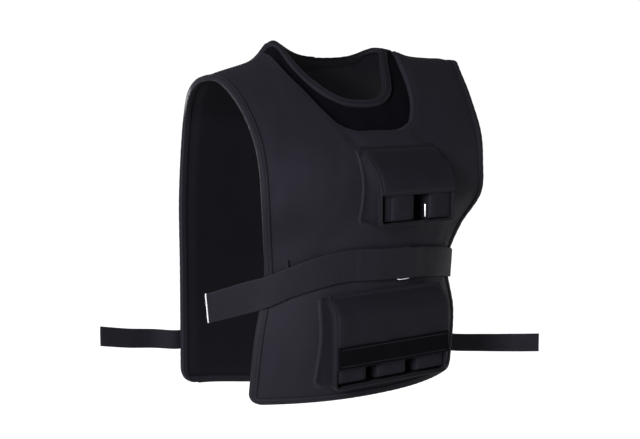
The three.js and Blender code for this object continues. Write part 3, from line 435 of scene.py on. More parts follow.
def node(tree, kind, inputs=None, **settings):
    made = tree.nodes.new(kind)
    for key, value in settings.items():
        setattr(made, key, value)
    fill(tree, made, inputs or {})
    return made


def maths(tree, operation, *values):
    return node(tree, "ShaderNodeMath", dict(enumerate(values)), operation=operation).outputs[0]


def ramp(tree, value, start, end, low, high):
    """low up to start, high from end on, even in between."""
    ends = {"Value": value, "From Min": start, "From Max": end, "To Min": low, "To Max": high}
    return node(tree, "ShaderNodeMapRange", ends).outputs[0]


def new_material(name):
    material = bpy.data.materials.new(name)
    material.use_nodes = True
    tree = material.node_tree
    place = node(tree, "ShaderNodeTexCoord").outputs["Object"]
    return material, tree, tree.nodes["Principled BSDF"], place


CLOTH_IOR = 1.1
CLOUD_SCALE, GRAIN_SCALE = 22.0, 900.0
# Pointiness range over which convex rims lighten: wear along the edges and a painted highlight on them.
WEAR_AND_HIGHLIGHT_FROM, WEAR_AND_HIGHLIGHT_FULL = 0.5, 0.56
CREST_FRONT, CREST_BACK = -0.004, 0.02


def woven(name, color, pitch=0.0009, depth=0.00022, roughness=0.55, sheen=0.01, rib=None, mottle=0.12, fuzz=0.25,
          edge_wear_and_highlight=0.0, gloss=0.5, behind=None):
    """Cloth: a weave of the given pitch in metres over the mesh's cloth coordinates, mottled and slightly fuzzy.
    rib is the pitch of the crosswise ribs of a tape or webbing, behind the brightness kept past the shoulder crest, as
    painted shade on the far side of the neck band."""
    material, tree, shader, place = new_material(name)
    uv = node(tree, "ShaderNodeUVMap", uv_map="cloth").outputs[0]
    parts = node(tree, "ShaderNodeSeparateXYZ", {0: uv})

    def wave(axis, length):
        return maths(tree, "SINE", maths(tree, "MULTIPLY", parts.outputs[axis], 2 * math.pi / length))

    def varied(texture, amount, base):
        return maths(tree, "MULTIPLY_ADD", maths(tree, "SUBTRACT", texture.outputs["Fac"], 0.5), amount, base)

    warp, weft = wave(0, pitch), wave(1, pitch)
    over = maths(tree, "MULTIPLY", warp, weft)
    threads = maths(tree, "ADD", maths(tree, "ABSOLUTE", warp), maths(tree, "ABSOLUTE", weft))
    weave = maths(tree, "ADD", maths(tree, "MULTIPLY", over, 0.5), maths(tree, "MULTIPLY", threads, 0.35))
    if rib:
        weave = maths(tree, "ADD", maths(tree, "MULTIPLY", weave, 0.5), maths(tree, "MULTIPLY", wave(1, rib), 0.8))
    cloud = node(tree, "ShaderNodeTexNoise", {"Vector": place, "Scale": CLOUD_SCALE, "Detail": 5.0, "Roughness": 0.6})
    grain = node(tree, "ShaderNodeTexNoise", {"Vector": place, "Scale": GRAIN_SCALE, "Detail": 2.0})
    shaded = maths(tree, "MULTIPLY_ADD", weave, 0.12, varied(grain, fuzz, varied(cloud, mottle * 2, 1.0)))
    # Wear along the edges and a painted highlight: the cloth is lightened where the mesh is pointy, on convex rims.
    if edge_wear_and_highlight:
        worn = node(tree, "ShaderNodeNewGeometry").outputs["Pointiness"]
        shaded = maths(tree, "ADD", shaded, ramp(tree, worn, WEAR_AND_HIGHLIGHT_FROM, WEAR_AND_HIGHLIGHT_FULL, 0.0, edge_wear_and_highlight))
    # Painted shade: the colour darkens past the shoulder crest, where the neck band turns its inside towards the
    # opening.
    if behind:
        rearward = node(tree, "ShaderNodeSeparateXYZ", {0: place}).outputs["Y"]
        shaded = maths(tree, "MULTIPLY", shaded, ramp(tree, rearward, CREST_FRONT, CREST_BACK, 1.0, behind))
    colors = {0: shaded, 6: (0, 0, 0, 1), 7: (*color, 1)}
    tint = node(tree, "ShaderNodeMix", colors, data_type="RGBA", clamp_factor=False)
    fine = node(tree, "ShaderNodeBump", {"Height": weave, "Strength": 0.55, "Distance": depth})
    bumped = {"Height": grain.outputs["Fac"], "Strength": 0.35, "Distance": depth, "Normal": fine.outputs[0]}
    fill(tree, shader, {
        "Base Color": tint.outputs[2], "Roughness": varied(cloud, 0.16, roughness), "IOR": CLOTH_IOR,
        "Specular IOR Level": gloss, "Sheen Weight": sheen, "Sheen Roughness": 0.45, "Sheen Tint": (0.8, 0.8, 0.9, 1),
        "Normal": node(tree, "ShaderNodeBump", bumped).outputs[0],
    })
    return material


def steel(name):
    material, tree, shader, place = new_material(name)
    scratch = node(tree, "ShaderNodeTexNoise", {"Vector": place, "Scale": 260.0, "Detail": 6.0}).outputs["Fac"]
    tones = {0: scratch, 6: (0.62, 0.63, 0.64, 1), 7: (0.86, 0.86, 0.87, 1)}
    bump = node(tree, "ShaderNodeBump", {"Height": scratch, "Strength": 0.1, "Distance": 0.0002})
    fill(tree, shader, {
        "Base Color": node(tree, "ShaderNodeMix", tones, data_type="RGBA").outputs[2],
        "Roughness": ramp(tree, scratch, 0.0, 1.0, 0.14, 0.34), "Metallic": 1, "Normal": bump.outputs[0],
    })
    return material


EDGING = dict(pitch=0.0008, depth=0.0002, roughness=0.5, rib=0.0021, mottle=0.08, fuzz=0.18)
SHELL = woven("shell_nylon", (0.0061, 0.0057, 0.0083), sheen=0.012, edge_wear_and_highlight=0.25)
POUCH_CLOTH = woven("pouch_nylon", (0.0043, 0.0040, 0.0059), edge_wear_and_highlight=0.3)
INSIDE = woven("inner_nylon", (0.0029, 0.0026, 0.0040), 0.0012, 0.00025, 0.7, 0.008, mottle=0.14, fuzz=0.3)
# Yoke lining: a dark knit, darkened further as painted shade for the recess under the front panel's scoop.
SHADED_LINING = woven("lining_knit_painted_shade", (0.0014, 0.0013, 0.0021), 0.0016, 0.0003, 0.85, 0.004, mottle=0.14, fuzz=0.35, gloss=0.25)
TAPE = woven("edge_tape", (0.0055, 0.0051, 0.0073), sheen=0.015, edge_wear_and_highlight=0.4, **EDGING)
# The neck band's cloth, with painted shade darkening its back half past the shoulder crest.
NECK_TAPE_SHADED_BEHIND = woven("neck_tape_painted_shade", (0.0055, 0.0051, 0.0073), sheen=0.008, behind=0.35, **EDGING)
# Pouch side walls: a darker cloth that is painted shade for the deep fold between the flap and the panel.
SHADED_GUSSET_CLOTH = woven("gusset_nylon_painted_shade", (0.0031, 0.0029, 0.0046), sheen=0.008)
EDGE_CLOTH = woven("pouch_edge", (0.0040, 0.0038, 0.0056), sheen=0.01, **EDGING)
BELT_CLOTH = woven(
    "belt_webbing", (0.0055, 0.0051, 0.0073), 0.0011, 0.0003, 0.5, 0.012, rib=0.0024, mottle=0.08, fuzz=0.2,
    edge_wear_and_highlight=0.25,
)
HOOK = woven("hook_pile", (0.0017, 0.0016, 0.0022), 0.0014, 0.0006, 0.95, 0.0, mottle=0.2, fuzz=0.9, gloss=0.16)
THREAD = woven("thread", (0.0143, 0.0137, 0.0175), 0.0006, 0.0001, 0.45, 0.03, mottle=0.1, fuzz=0.1, gloss=0.7)
SEALED = woven("melted_end", (0.3, 0.29, 0.31), 0.0011, 0.0001, 0.4, 0.0, mottle=0.2, fuzz=0.2)
STEEL = steel("ring_steel")


# Panels
LAYOUT = {
    "front": Sizes(sign=-1, neck=SCOOP, inset=0, turn=0.37, corner=FRONT_CORNER, tail=0),
    "back": Sizes(sign=1, neck=NECK["back"], inset=BINDING_INSET, turn=0.2, corner=BACK_CORNER, tail=BACK_TAIL),
}
RINGS = [BINDING_INSET, 3.5, 5, 7, 9, 12, 15, 18, 22, 27, 32]
MARGINS = {"front": [1.5, 3, 5, 7.5, 11, 15, 19, 23], "back": [2, 4, 6, 9, 12, 14]}
STRAP_ROWS = {"front": 46, "back": 16}
STRAP_COLUMNS, MIDDLE_COLUMNS, BODY_ROWS = 18, 28, 128
SIDE_COUNT = len(RINGS)


def clear_of_crest(s, face):
    """Keeps the two panels apart where they meet along the shoulder seam."""
    return np.minimum(s, -GAP) if face == "front" else np.maximum(s, GAP)


def panel_grid(face, edge=None):
    """x and s of a panel's fine grid. edge replaces the first ring's distance, for a curve beside the bound edge."""
    layout, margins, strap_rows = LAYOUT[face], MARGINS[face], STRAP_ROWS[face]
    sign, turn, corner, tail = layout.sign, layout.turn, layout.corner, layout.tail
    rings = np.array(RINGS, float) if edge is None else np.maximum(np.array([edge, *RINGS[1:]], float), edge)
    neck_column = SIDE_COUNT + STRAP_COLUMNS + len(margins)
    half = neck_column + MIDDLE_COLUMNS
    last = strap_rows + len(margins) + BODY_ROWS + SIDE_COUNT
    j = np.arange(2 * half + 1)
    column, side = np.minimum(j, 2 * half - j), np.where(j > half, 1, -1)
    in_ring = column < SIDE_COUNT
    from_edge = rings[np.minimum(column, SIDE_COUNT - 1)]
    across = np.clip((column - neck_column) / MIDDLE_COLUMNS, 0, 1)
    to_neck = neck_column - column
    beside_neck = np.where(to_neck > 0, np.array([0, *margins])[np.clip(to_neck, 0, len(margins))], 0)
    strap_share = (column - SIDE_COUNT + 1) / (STRAP_COLUMNS + 1)
    hem_at = abs(HEM[face])
    hem_width = half_width(sign * (hem_at - tail), side)
    hem_share = 1 - np.maximum(0, (column - SIDE_COUNT + 1) / (half - SIDE_COUNT + 1))
    hem_x = (hem_width - RINGS[-1]) * hem_share
    tail_rise = tail * smooth(np.where(in_ring, 1, hem_x / hem_width))
    xs, ss = np.zeros((last + 1, len(j))), np.zeros((last + 1, len(j)))
    for i in range(last + 1):
        fraction = np.where(across > 0, mix(turn, 0.5, across), turn * min(1, i / strap_rows))
        point = layout.neck.beside(fraction, layout.inset) if layout.inset else layout.neck(fraction)
        neck_x, neck_s = np.abs(point[:, 0]), point[:, 1]
        inner = neck_x + beside_neck
        width = half_width(neck_s, side)
        strap = np.where(strap_share < 1, mix(width - RINGS[-1], inner, strap_share), inner)
        beside = np.where(in_ring, width - from_edge, strap)
        if i <= strap_rows:
            xs[i], ss[i] = side * beside, neck_s
            continue
        top = np.abs(neck_s) + margins[min(i - strap_rows, len(margins)) - 1]
        from_bottom = last - i
        from_hem = rings[from_bottom] if from_bottom < SIDE_COUNT else RINGS[-1]
        t = 1 if from_bottom < SIDE_COUNT else max(0, (i - strap_rows - len(margins)) / (BODY_ROWS + 1))
        run = mix(top, hem_at - tail_rise - from_hem, t)
        width_here = half_width(sign * run, side)
        share = mix(beside / width, hem_x / hem_width, smooth(t))
        x = np.where(in_ring, width_here - from_edge, share * width_here)
        to_side, to_hem = rounded(width_here - x, hem_at - tail_rise - run, corner)
        xs[i], ss[i] = side * (width_here - to_side), sign * (hem_at - tail_rise - to_hem)
    there = np.ones((last, 2 * half), bool)
    there[:strap_rows, neck_column:2 * half - neck_column] = False
    return xs, ss, there


def ring_distances(face, shape):
    """How far each grid point lies from the bound edges and from the neck opening."""
    margins, strap_rows = MARGINS[face], STRAP_ROWS[face]
    rows, cols = shape
    i, j = np.mgrid[0:rows, 0:cols]
    column = np.minimum(j, cols - 1 - j)
    rings = np.array([*RINGS, np.inf])
    neck_column = SIDE_COUNT + STRAP_COLUMNS + len(margins)
    steps = np.array([0, *margins, np.inf])
    edge = np.minimum(rings[np.minimum(column, SIDE_COUNT)], rings[np.minimum(rows - 1 - i, SIDE_COUNT)])
    neck = steps[np.clip(np.maximum(neck_column - column, i - strap_rows), 0, len(margins) + 1)]
    return edge, neck


def taper(distance):
    """0 under the edge tape, rising to 1 where the padding is full."""
    return smooth((distance - BINDING_WIDTH) / EDGE_TAPER)


def in_pouch(x, z, pouch, blur):
    """1 under a pouch, falling to 0 over blur outside it."""
    across = smooth(1 - (np.abs(x - pouch.middle) - pouch.half) / blur)
    return across * smooth(1 - (z - pouch.top) / blur) * smooth(1 - (pouch.bottom - z) / blur)


def line_distance(x, z, start, end):
    start, end = np.array(start, float), np.array(end, float)
    d = end - start
    t = np.clip(((x - start[0]) * d[0] + (z - start[1]) * d[1]) / (d @ d), 0, 1)
    return np.hypot(x - start[0] - t * d[0], z - start[1] - t * d[1]), t


def front_relief(x, z):
    """Low forms of the worn front panel: tension folds from the scoop to the chest pouch, the belt's pull."""
    pouch = CHEST_POUCH
    left, right = pouch.middle - pouch.half, pouch.middle + pouch.half
    lift = np.zeros(np.shape(x))
    folds = [
        ((-68, -132), (left + 2, -166), -3.2, 11),
        ((-84, -122), (left - 6, -172), 2.2, 16),
        ((66, -134), (right - 4, -168), -3.0, 12),
        ((left - 16, -300), (-150, -322), -1.6, 20),
        ((right, -296), (130, -318), -1.6, 18),
    ]
    for start, end, depth, width in folds:
        distance, t = line_distance(x, z, start, end)
        lift += depth * bell(distance / width) * np.sin(np.clip(t * 0.8 + 0.1, 0, 1) * np.pi)
    lift += 2.2 * in_pouch(x, z, Sizes(middle=10, half=58, top=-140, bottom=-160), 26)
    belt = belt_middle(x)
    lift -= 1.6 * bell((z - belt) / 24)
    lift += 1.0 * bell((z - belt - 42) / 16) + 0.8 * bell((z - belt + 40) / 15)
    pleat = np.sin(x / 7.5 + 1.2 * np.sin(x / 31)) * smooth((np.abs(x) - 40) / 60)
    lift += 0.55 * pleat * bell((z - belt - 34) / 13)
    lift += 0.6 * bumps(x, z, 95, 5) + 0.28 * bumps(x, z * 0.7, 34, 8)
    return lift


def back_relief(x, z):
    """Broad swells of the worn back panel and the rear strap's pull."""
    lift = 0.9 * bumps(x, z, 120, 21) + 0.3 * bumps(x, z, 42, 22)
    strap = STRAP_MIDDLE_Z - STRAP_SLOPE * x
    return lift - 1.2 * bell((z - strap) / 17) + 0.7 * bell((z - strap - 30) / 14)


WAIST_HALF = half_width(run_at_height(0, -SECTIONS[WAIST][2] * FRONT_DROP, "front"), 1)
BELT_ROWS = np.array([(WAIST_HALF * across, -height * FRONT_DROP) for across, height in BELT_ON_FRONT])
BELT_CURVE = Curve(BELT_ROWS[:, 0], BELT_ROWS)


def belt_middle(x):
    return BELT_CURVE(np.clip(x, BELT_ROWS[0, 0], BELT_ROWS[-1, 0]))[..., 1]


SIM_STEP, SIM_FRAMES, SIM_CAP = 3, 18, 3.5
SIM_PRESSURE, SIM_GROWTH, CLOTH_GRAVITY = 0.35, 0.018, 0.25
CLOTH_SETTINGS = dict(
    quality=6, mass=0.25, tension_stiffness=18, compression_stiffness=18, shear_stiffness=8, bending_stiffness=3,
    vertex_group_mass="held", pin_stiffness=1, use_pressure=True,
)


def settled(name, points, held, pressure, growth):
    """Runs cloth over a grid of points, held where held is 1, and returns how far each moved, in millimetres."""
    rows, cols = points.shape[:2]
    quads = grid_cells(rows, cols).reshape(-1, 4)
    obj = finish_mesh(name, points.reshape(-1, 3), quads)
    group = obj.vertex_groups.new(name="held")
    for k, weight in enumerate(held.ravel()):
        if weight > 0.01:
            group.add([k], float(min(1, weight)), "REPLACE")
    cloth = obj.modifiers.new("cloth", "CLOTH")
    for key, value in CLOTH_SETTINGS.items():
        setattr(cloth.settings, key, value)
    cloth.settings.shrink_min = cloth.settings.shrink_max = -growth
    cloth.settings.uniform_pressure_force = pressure
    cloth.settings.effector_weights.gravity = CLOTH_GRAVITY
    cloth.collision_settings.use_collision = False
    scene = bpy.context.scene
    for step in range(1, SIM_FRAMES + 1):
        scene.frame_set(step)
    evaluated = obj.evaluated_get(bpy.context.evaluated_depsgraph_get())
    moved = np.zeros(len(evaluated.data.vertices) * 3)
    evaluated.data.vertices.foreach_get("co", moved)
    moved = moved.reshape(rows, cols, 3) / MM - points
    scene.frame_set(1)
    bpy.data.objects.remove(obj)
    return moved


def enlarge(values, rows, cols, size):
    """Values on a coarse grid, read at every cell of the fine grid that it was taken from."""
    fine = np.empty((len(rows), size[1]))
    for k in range(len(rows)):
        fine[k] = np.interp(np.arange(size[1]), cols, values[k])
    return np.stack([np.interp(np.arange(size[0]), rows, fine[:, j]) for j in range(size[1])], -1)


def blurred(values, times):
    for _ in range(times):
        padded = np.pad(values, 1, mode="edge")
        values = (padded[:-2, 1:-1] + padded[2:, 1:-1] + padded[1:-1, :-2] + padded[1:-1, 2:] + 4 * values) / 8
    return values


def simulated_lift(face, xs, ss, edge, neck, z):
    """How far the padding swells and creases off the panel, from a cloth simulation held at seams and pouches."""
    rows = np.unique(np.append(np.arange(0, xs.shape[0], SIM_STEP), xs.shape[0] - 1))
    cols = np.unique(np.append(np.arange(0, xs.shape[1], SIM_STEP), xs.shape[1] - 1))
    pick = np.ix_(rows, cols)
    x, s, height = xs[pick], ss[pick], z[pick]
    held = 1 - smooth((edge[pick] - 10) / 8)
    held = np.maximum(held, 1 - smooth((neck[pick] - 4) / 8))
    if face == "front":
        for pouch in (CHEST_POUCH, BELLY_POUCH):
            held = np.maximum(held, in_pouch(x, height, pouch, 10))
        held = np.maximum(held, 0.9 * bell((height - belt_middle(x)) / 20) ** 2)
    else:
        strap = STRAP_MIDDLE_Z - STRAP_SLOPE * x
        held = np.maximum(held, 0.8 * bell((height - strap) / 14))
    strap_rows = STRAP_ROWS[face] // SIM_STEP
    held[:2] = 1
    points = on_torso(x, clear_of_crest(s, face), 0 * x)
    moved = settled("settling", points, held, SIM_PRESSURE, SIM_GROWTH)
    lift = (moved * normal(x, s)).sum(-1) * (1 - held)
    lift[:strap_rows, neck[pick][:strap_rows].min(0) == 0] = 0
    return np.clip(blurred(enlarge(lift, rows, cols, xs.shape), 2), -SIM_CAP, SIM_CAP)


SCOOP_DIP, SCOOP_DIP_REACH, SCOOP_STITCH_ROWS = 0.9, 9, (3.5, 8.5)
SEAM_FROM_CREST, SEAM_RIDGE, PANEL_PUFF = 7, 1.1, 0.8


def panel(face):
    """The padded panel: outer cloth with its relief and swelling, inner cloth, rounded rims."""
    xs, ss, there = panel_grid(face)
    ss = clear_of_crest(ss, face)
    edge, neck = ring_distances(face, xs.shape)
    z = surface(xs, ss)[..., 2]
    bound = mix(EDGE_THICKNESS, PANEL_THICKNESS, taper(edge))
    pillow = taper(edge)
    if face == "front":
        thickness = np.where(neck < np.inf, np.minimum(bound, scoop_thickness(ss)), bound)
        dip = -SCOOP_DIP * (1 - smooth(neck / SCOOP_DIP_REACH))
        relief = front_relief(xs, z) * pillow * smooth((neck + 3) / 14)
        relief *= 1 - 0.9 * np.maximum(in_pouch(xs, z, CHEST_POUCH, 5), in_pouch(xs, z, BELLY_POUCH, 5))
        relief -= 0.7 * bell((neck - 6.0) / 1.2)
        from_seam = ss + SEAM_FROM_CREST
        relief += SEAM_RIDGE * bell((from_seam + 5) / 4) * smooth(edge / 12) - 0.8 * bell(from_seam / 1.3)
    else:
        beside = taper(neck)
        dip = neck_level(ss) * (1 - beside)
        thickness = np.minimum(bound, mix(EDGE_THICKNESS, PANEL_THICKNESS, beside))
        relief = back_relief(xs, z) * pillow * smooth(neck / 30)
    swell = simulated_lift(face, xs, ss, edge, neck, z) * pillow
    lift = dip + relief + swell + PANEL_PUFF * pillow
    inner = -thickness + dip - 0.48 * pillow * bumps(xs, z, 70, 31)
    outer_points, inner_points = on_torso(xs, ss, lift), on_torso(xs, ss, inner)
    obj = shell(f"{face}_panel_cloth", outer_points, inner_points, np.stack([xs, ss], -1), there, rim=0.35)
    dress(obj, SHELL, [f"{face}_panel"])
    obj.data.materials.append(INSIDE)
    count = int(there.sum())
    kinds = np.zeros(len(obj.data.polygons), np.int32)
    kinds[count:2 * count] = 1
    obj.data.polygons.foreach_set("material_index", kinds)


def panel_stitching():
    """Two rows along the turned edge of the scoop, and one beside each shoulder seam."""
    rows = []
    for distance in SCOOP_STITCH_ROWS:
        x, s = SCOOP.beside(np.linspace(0.01, 0.99, 260), distance).T
        lift = 0.25 - SCOOP_DIP * (1 - smooth(distance / SCOOP_DIP_REACH))
        rows.append((x, np.minimum(s, -SEAM_FROM_CREST), lift))
    for side in (-1, 1):
        width = float(half_width(-SEAM_FROM_CREST, side)) - BINDING_WIDTH
        x = side * np.linspace(SCOOP_HALF + 3, width, 60)
        rows += [(x, np.full(len(x), s - SEAM_FROM_CREST), 1.2) for s in (3.5, -4)]
    torso_stitches("panel_stitching", rows)


def outline_spot(face, distance):
    """(x, s) along a panel's bound outline, from the right shoulder round the hem to the left one."""
    xs, ss, _ = panel_grid(face, edge=distance)
    ss = clear_of_crest(ss, face)
    spots = np.stack([xs, ss], -1)
    return np.concatenate([spots[:, 0], spots[-1, 1:-1], spots[::-1, -1]])


PUCKER = 0.18
NECK_BAND_WIDTH = 15


def tape(name, spot, level, closed, replaces, proud=0.5, width=BINDING_WIDTH, material=TAPE):
    """A folded tape round a bound edge, slightly puckered along its stitching."""
    top = BINDING_THICKNESS + proud
    under = EDGE_THICKNESS + BINDING_THICKNESS + proud
    profile = [
        (width, -0.1), (width - 0.2, top * 0.7), (width - 1.2, top), (width - 3, top - 0.35), (width - 4, top + 0.1),
        (5.5, top + 0.25), (4.2, top + 0.1), (3, top - 0.35), (1.6, top + 0.1), (0.5, top - 0.4), (-0.2, top - 1.5),
        (-0.4, -EDGE_THICKNESS / 2), (-0.2, -under + 1.5), (0.5, -under + 0.4), (1.6, -under - 0.1), (3, -under + 0.3),
        (4.5, -under - 0.2), (width - 4, -under - 0.1), (width - 3, -under + 0.35), (width - 1.2, -under),
        (width - 0.2, -under + top * 0.3), (width, -EDGE_THICKNESS + 0.1),
    ]
    rings, uv = [], []
    for distance, lift in profile:
        spots = spot(distance)
        x, s = spots.T
        at = distances(spots)
        pucker = PUCKER * np.sin(at / 2.4) * (1 if abs(lift) > 1 else 0)
        rings.append(on_torso(x, s, level(s) + lift + np.sign(lift + EDGE_THICKNESS / 2) * pucker))
        uv.append(np.stack([np.full(len(at), distance + (40 if lift < -2 else 0)), at], -1))
    points, uv = np.stack(rings, 1), np.stack(uv, 1)
    faces = tube_faces(*points.shape[:2], closed)
    dress(finish_mesh(name, points.reshape(-1, 3), faces, uv.reshape(-1, 2)), material, replaces)
    lines = [spot(distance).T for distance in (width - 3, 3)]
    torso_stitches(name + "_stitching", [(x, s, level(s) + top - 0.1) for x, s in lines])


def neck_spot(distance):
    front = NECK["front"].beside(np.linspace(0, 1, 181), distance)
    back = NECK["back"].beside(np.linspace(1, 0, 121), distance)
    return np.concatenate([front, back[1:-1]])


def yoke():
    """The lining piece that carries the front neckline, running under the front panel's scoop."""
    spans = np.linspace(0, 1, 200)
    inner = NECK["front"].beside(spans, BINDING_INSET)
    outer = SCOOP.beside(spans, YOKE_TUCK)
    share = np.linspace(0, 1, 30)[None, :]
    xs, ss = [mix(inner[:, k][:, None], outer[:, k][:, None], share) for k in (0, 1)]
    ss = clear_of_crest(ss, "front")
    level = neck_level(np.minimum(0, ss))
    free = np.sin(np.pi * np.clip(share / 0.75, 0, 1))
    slack = free * (0.9 * bumps(xs, ss, 60, 41) - 1.4) * smooth(-ss / 60)
    top = on_torso(xs, ss, level + slack)
    low = on_torso(xs, ss, level - YOKE_THICKNESS * 0.6 + slack)
    obj = shell("neck_yoke_lining", top, low, np.stack([xs, ss], -1), rim=0.3)
    # The lining's very dark colour includes painted shade for the recess under the scoop.
    dress(obj, SHADED_LINING, ["neck_yoke"])


# Pouches: reliefs over the front
def pouch_face(pouch, x, z):
    """How far forward a pouch reaches: from the panel at its top, bent down to its flat face at the fold."""
    t = np.maximum(0, (pouch.top - z) / (pouch.top - pouch.fold))
    start = np.minimum(front_y(x, z), -pouch.top_face)
    bend = np.sin(np.minimum(t, 1) * np.pi / 2)
    return np.where(z <= pouch.fold, -pouch.face, mix(start, -pouch.face, bend))


def flare_at(pouch, z):
    """How far a pouch's side leans out or in at a height."""
    return pouch.flare * ((pouch.top - z) / (pouch.top - pouch.bottom) - 0.5)


POUCH_CORNER = 9


WALL_TOP_INSET, CREASE_LEAN, CREASE_SHARPNESS, WALL_WAVE, TUCK_FROM = 3, 1.6, 1.3, 9, 12


def gusset(stem, pouch):
    """The pouch's side and bottom wall: a strip that runs down one side, along the bottom and up the other."""
    left, right = pouch.middle - pouch.half, pouch.middle + pouch.half
    top, bottom, r = pouch.top - WALL_TOP_INSET, pouch.bottom, POUCH_CORNER
    turn = np.linspace(0, np.pi / 2, 9)
    down = np.linspace(top, bottom + r, 60)[:, None]
    side_l = np.hstack([np.full_like(down, left), down])
    arc_l = np.stack([left + r - r * np.cos(turn), bottom + r - r * np.sin(turn)], -1)[1:]
    low = np.linspace(left + r, right - r, 70)[1:, None]
    base = np.hstack([low, np.full_like(low, bottom)])
    arc_r = np.stack([right - r + r * np.sin(turn), bottom + r - r * np.cos(turn)], -1)[1:]
    side_r = np.hstack([np.full_like(down, right), down])[::-1][1:]
    loop = np.concatenate([side_l, arc_l, base, arc_r, side_r])
    step = np.gradient(loop, axis=0)
    out = unit(np.stack([step[:, 1], -step[:, 0]], -1))
    centre = np.array([pouch.middle, (top + bottom) / 2])
    out *= np.sign(((loop - centre) * out).sum(-1, keepdims=True))
    on_side = np.abs(out[:, 0])
    flare = np.maximum(0, flare_at(pouch, loop[:, 1])) * on_side
    root_y = front_y(loop[:, 0], loop[:, 1])
    face = np.minimum(pouch_face(pouch, loop[:, 0], loop[:, 1]), root_y - BACKING)
    depth = np.linspace(0, 1, 26)[None]
    crease = np.sin(np.pi * depth**CREASE_LEAN) ** CREASE_SHARPNESS
    sink = pouch.tuck * on_side * smooth((root_y - face - TUCK_FROM) / 20)
    wave = (0.5 + pouch.tuck / 12) * np.sin(loop[:, 1] / WALL_WAVE)[:, None] * crease * smooth(pouch.tuck)
    shift = flare[:, None] * (1 - smooth(depth * 1.8)) - (sink[:, None] + wave) * crease * on_side[:, None]
    grid = np.zeros((*shift.shape, 3))
    grid[..., 0::2] = loop[:, None] + out[:, None] * shift[..., None]
    grid[..., 1] = mix((root_y - 0.6)[:, None], (face + 0.4)[:, None], depth)
    inside = grid.copy()
    inside[..., 0::2] -= out[:, None] * GUSSET_THICKNESS
    obj = shell(stem + "_walls", grid, inside, cell_steps(grid), rim=0.45)
    # The walls' darker cloth is painted shade for the fold beside the flap.
    dress(obj, SHADED_GUSSET_CLOTH, [stem])
    lip(stem + "_edge", loop, out, face)
    flange(stem + "_seam", loop, out, flare)


LIP_WIDTH, LIP_STAND = 7.5, 0.9


def lip(name, loop, out, face):
    """The tape that binds the front edge of a pouch wall."""
    width, stand, thick = LIP_WIDTH, LIP_STAND, GUSSET_THICKNESS
    profile = [
        (width, 0.2), (width - 0.8, stand), (width / 2, stand + 0.1), (0.8, stand), (-0.5, 0.2), (-0.9, -thick / 2),
        (-0.5, -thick - 0.2), (0.8, -thick - stand), (width / 2, -thick - stand), (width - 0.8, -thick - stand),
        (width, -thick - 0.2),
    ]

    def beside(off, back):
        x, z = (loop + out * off).T
        return np.stack([x, face + back, z], -1)

    band(name, np.stack([beside(off, back) for back, off in profile], 1), EDGE_CLOTH)
    ups = np.stack([out[:, 0], 0 * out[:, 0], out[:, 1]], -1)
    stitches(name + "_stitching", [beside(stand + 0.05, width - 2)], [ups])


FLANGE_WIDTH = 6
FLANGE_PROFILE = [  # share of the width, lift
    (-0.3, 1.5), (0.2, 2.1), (0.9, 2.0), (1.0, 1.1), (1.0, -0.4), (0.9, -0.4), (0.2, -0.4), (-0.3, -0.4),
]


def flange(name, loop, out, flare):
    """The wall's turned edge, sewn flat to the panel."""

    def spot(share):
        return (loop + out * (flare + share * FLANGE_WIDTH)[:, None]).T

    points = [on_front(*spot(share), lift) for share, lift in FLANGE_PROFILE]
    band(name, np.stack(points, 1), SHELL)
    x, z = spot(0.6)
    torso_stitches(name + "_stitching", [(x, run_at_height(x, z, "front"), 2.2)])


def band(name, points, material):
    """A closed strip from rings of points, with end caps."""
    steps = cell_steps(points)
    obj = finish_mesh(name, points.reshape(-1, 3), tube_faces(*points.shape[:2]), steps.reshape(-1, 2))
    fix_normals(obj)
    dress(obj, material)


def fix_normals(obj):
    work = bmesh.new()
    work.from_mesh(obj.data)
    bmesh.ops.recalc_face_normals(work, faces=work.faces)
    work.to_mesh(obj.data)
    work.free()


def back_wall(stem, pouch):
    """The pouch's own back, flat against the panel."""
    reach = pouch.half - 2
    x, z = np.meshgrid(pouch.middle + np.linspace(-reach, reach, 60), np.linspace(pouch.top - 6, pouch.bottom + 3, 60))
    y = front_y(x, z)
    wall, _ = slab(stem + "_back", x, z, y - BACKING + 0.5 * bumps(x, z, 30, 51), y - 1.2, rim=0.2)
    dress(wall, INSIDE)


FLAP_CORNER, FLAP_STITCH_INSET, FLAP_TOP_INSET = 7.0, 4.5, 0.15
FLAP_TACKS = (1.6, 2.5, 3.4, 4.3)  # from the flap's side
TOWARDS_VIEWER, TILTED_UP = [0, -1.0, 0], [0, -1.0, 0.3]


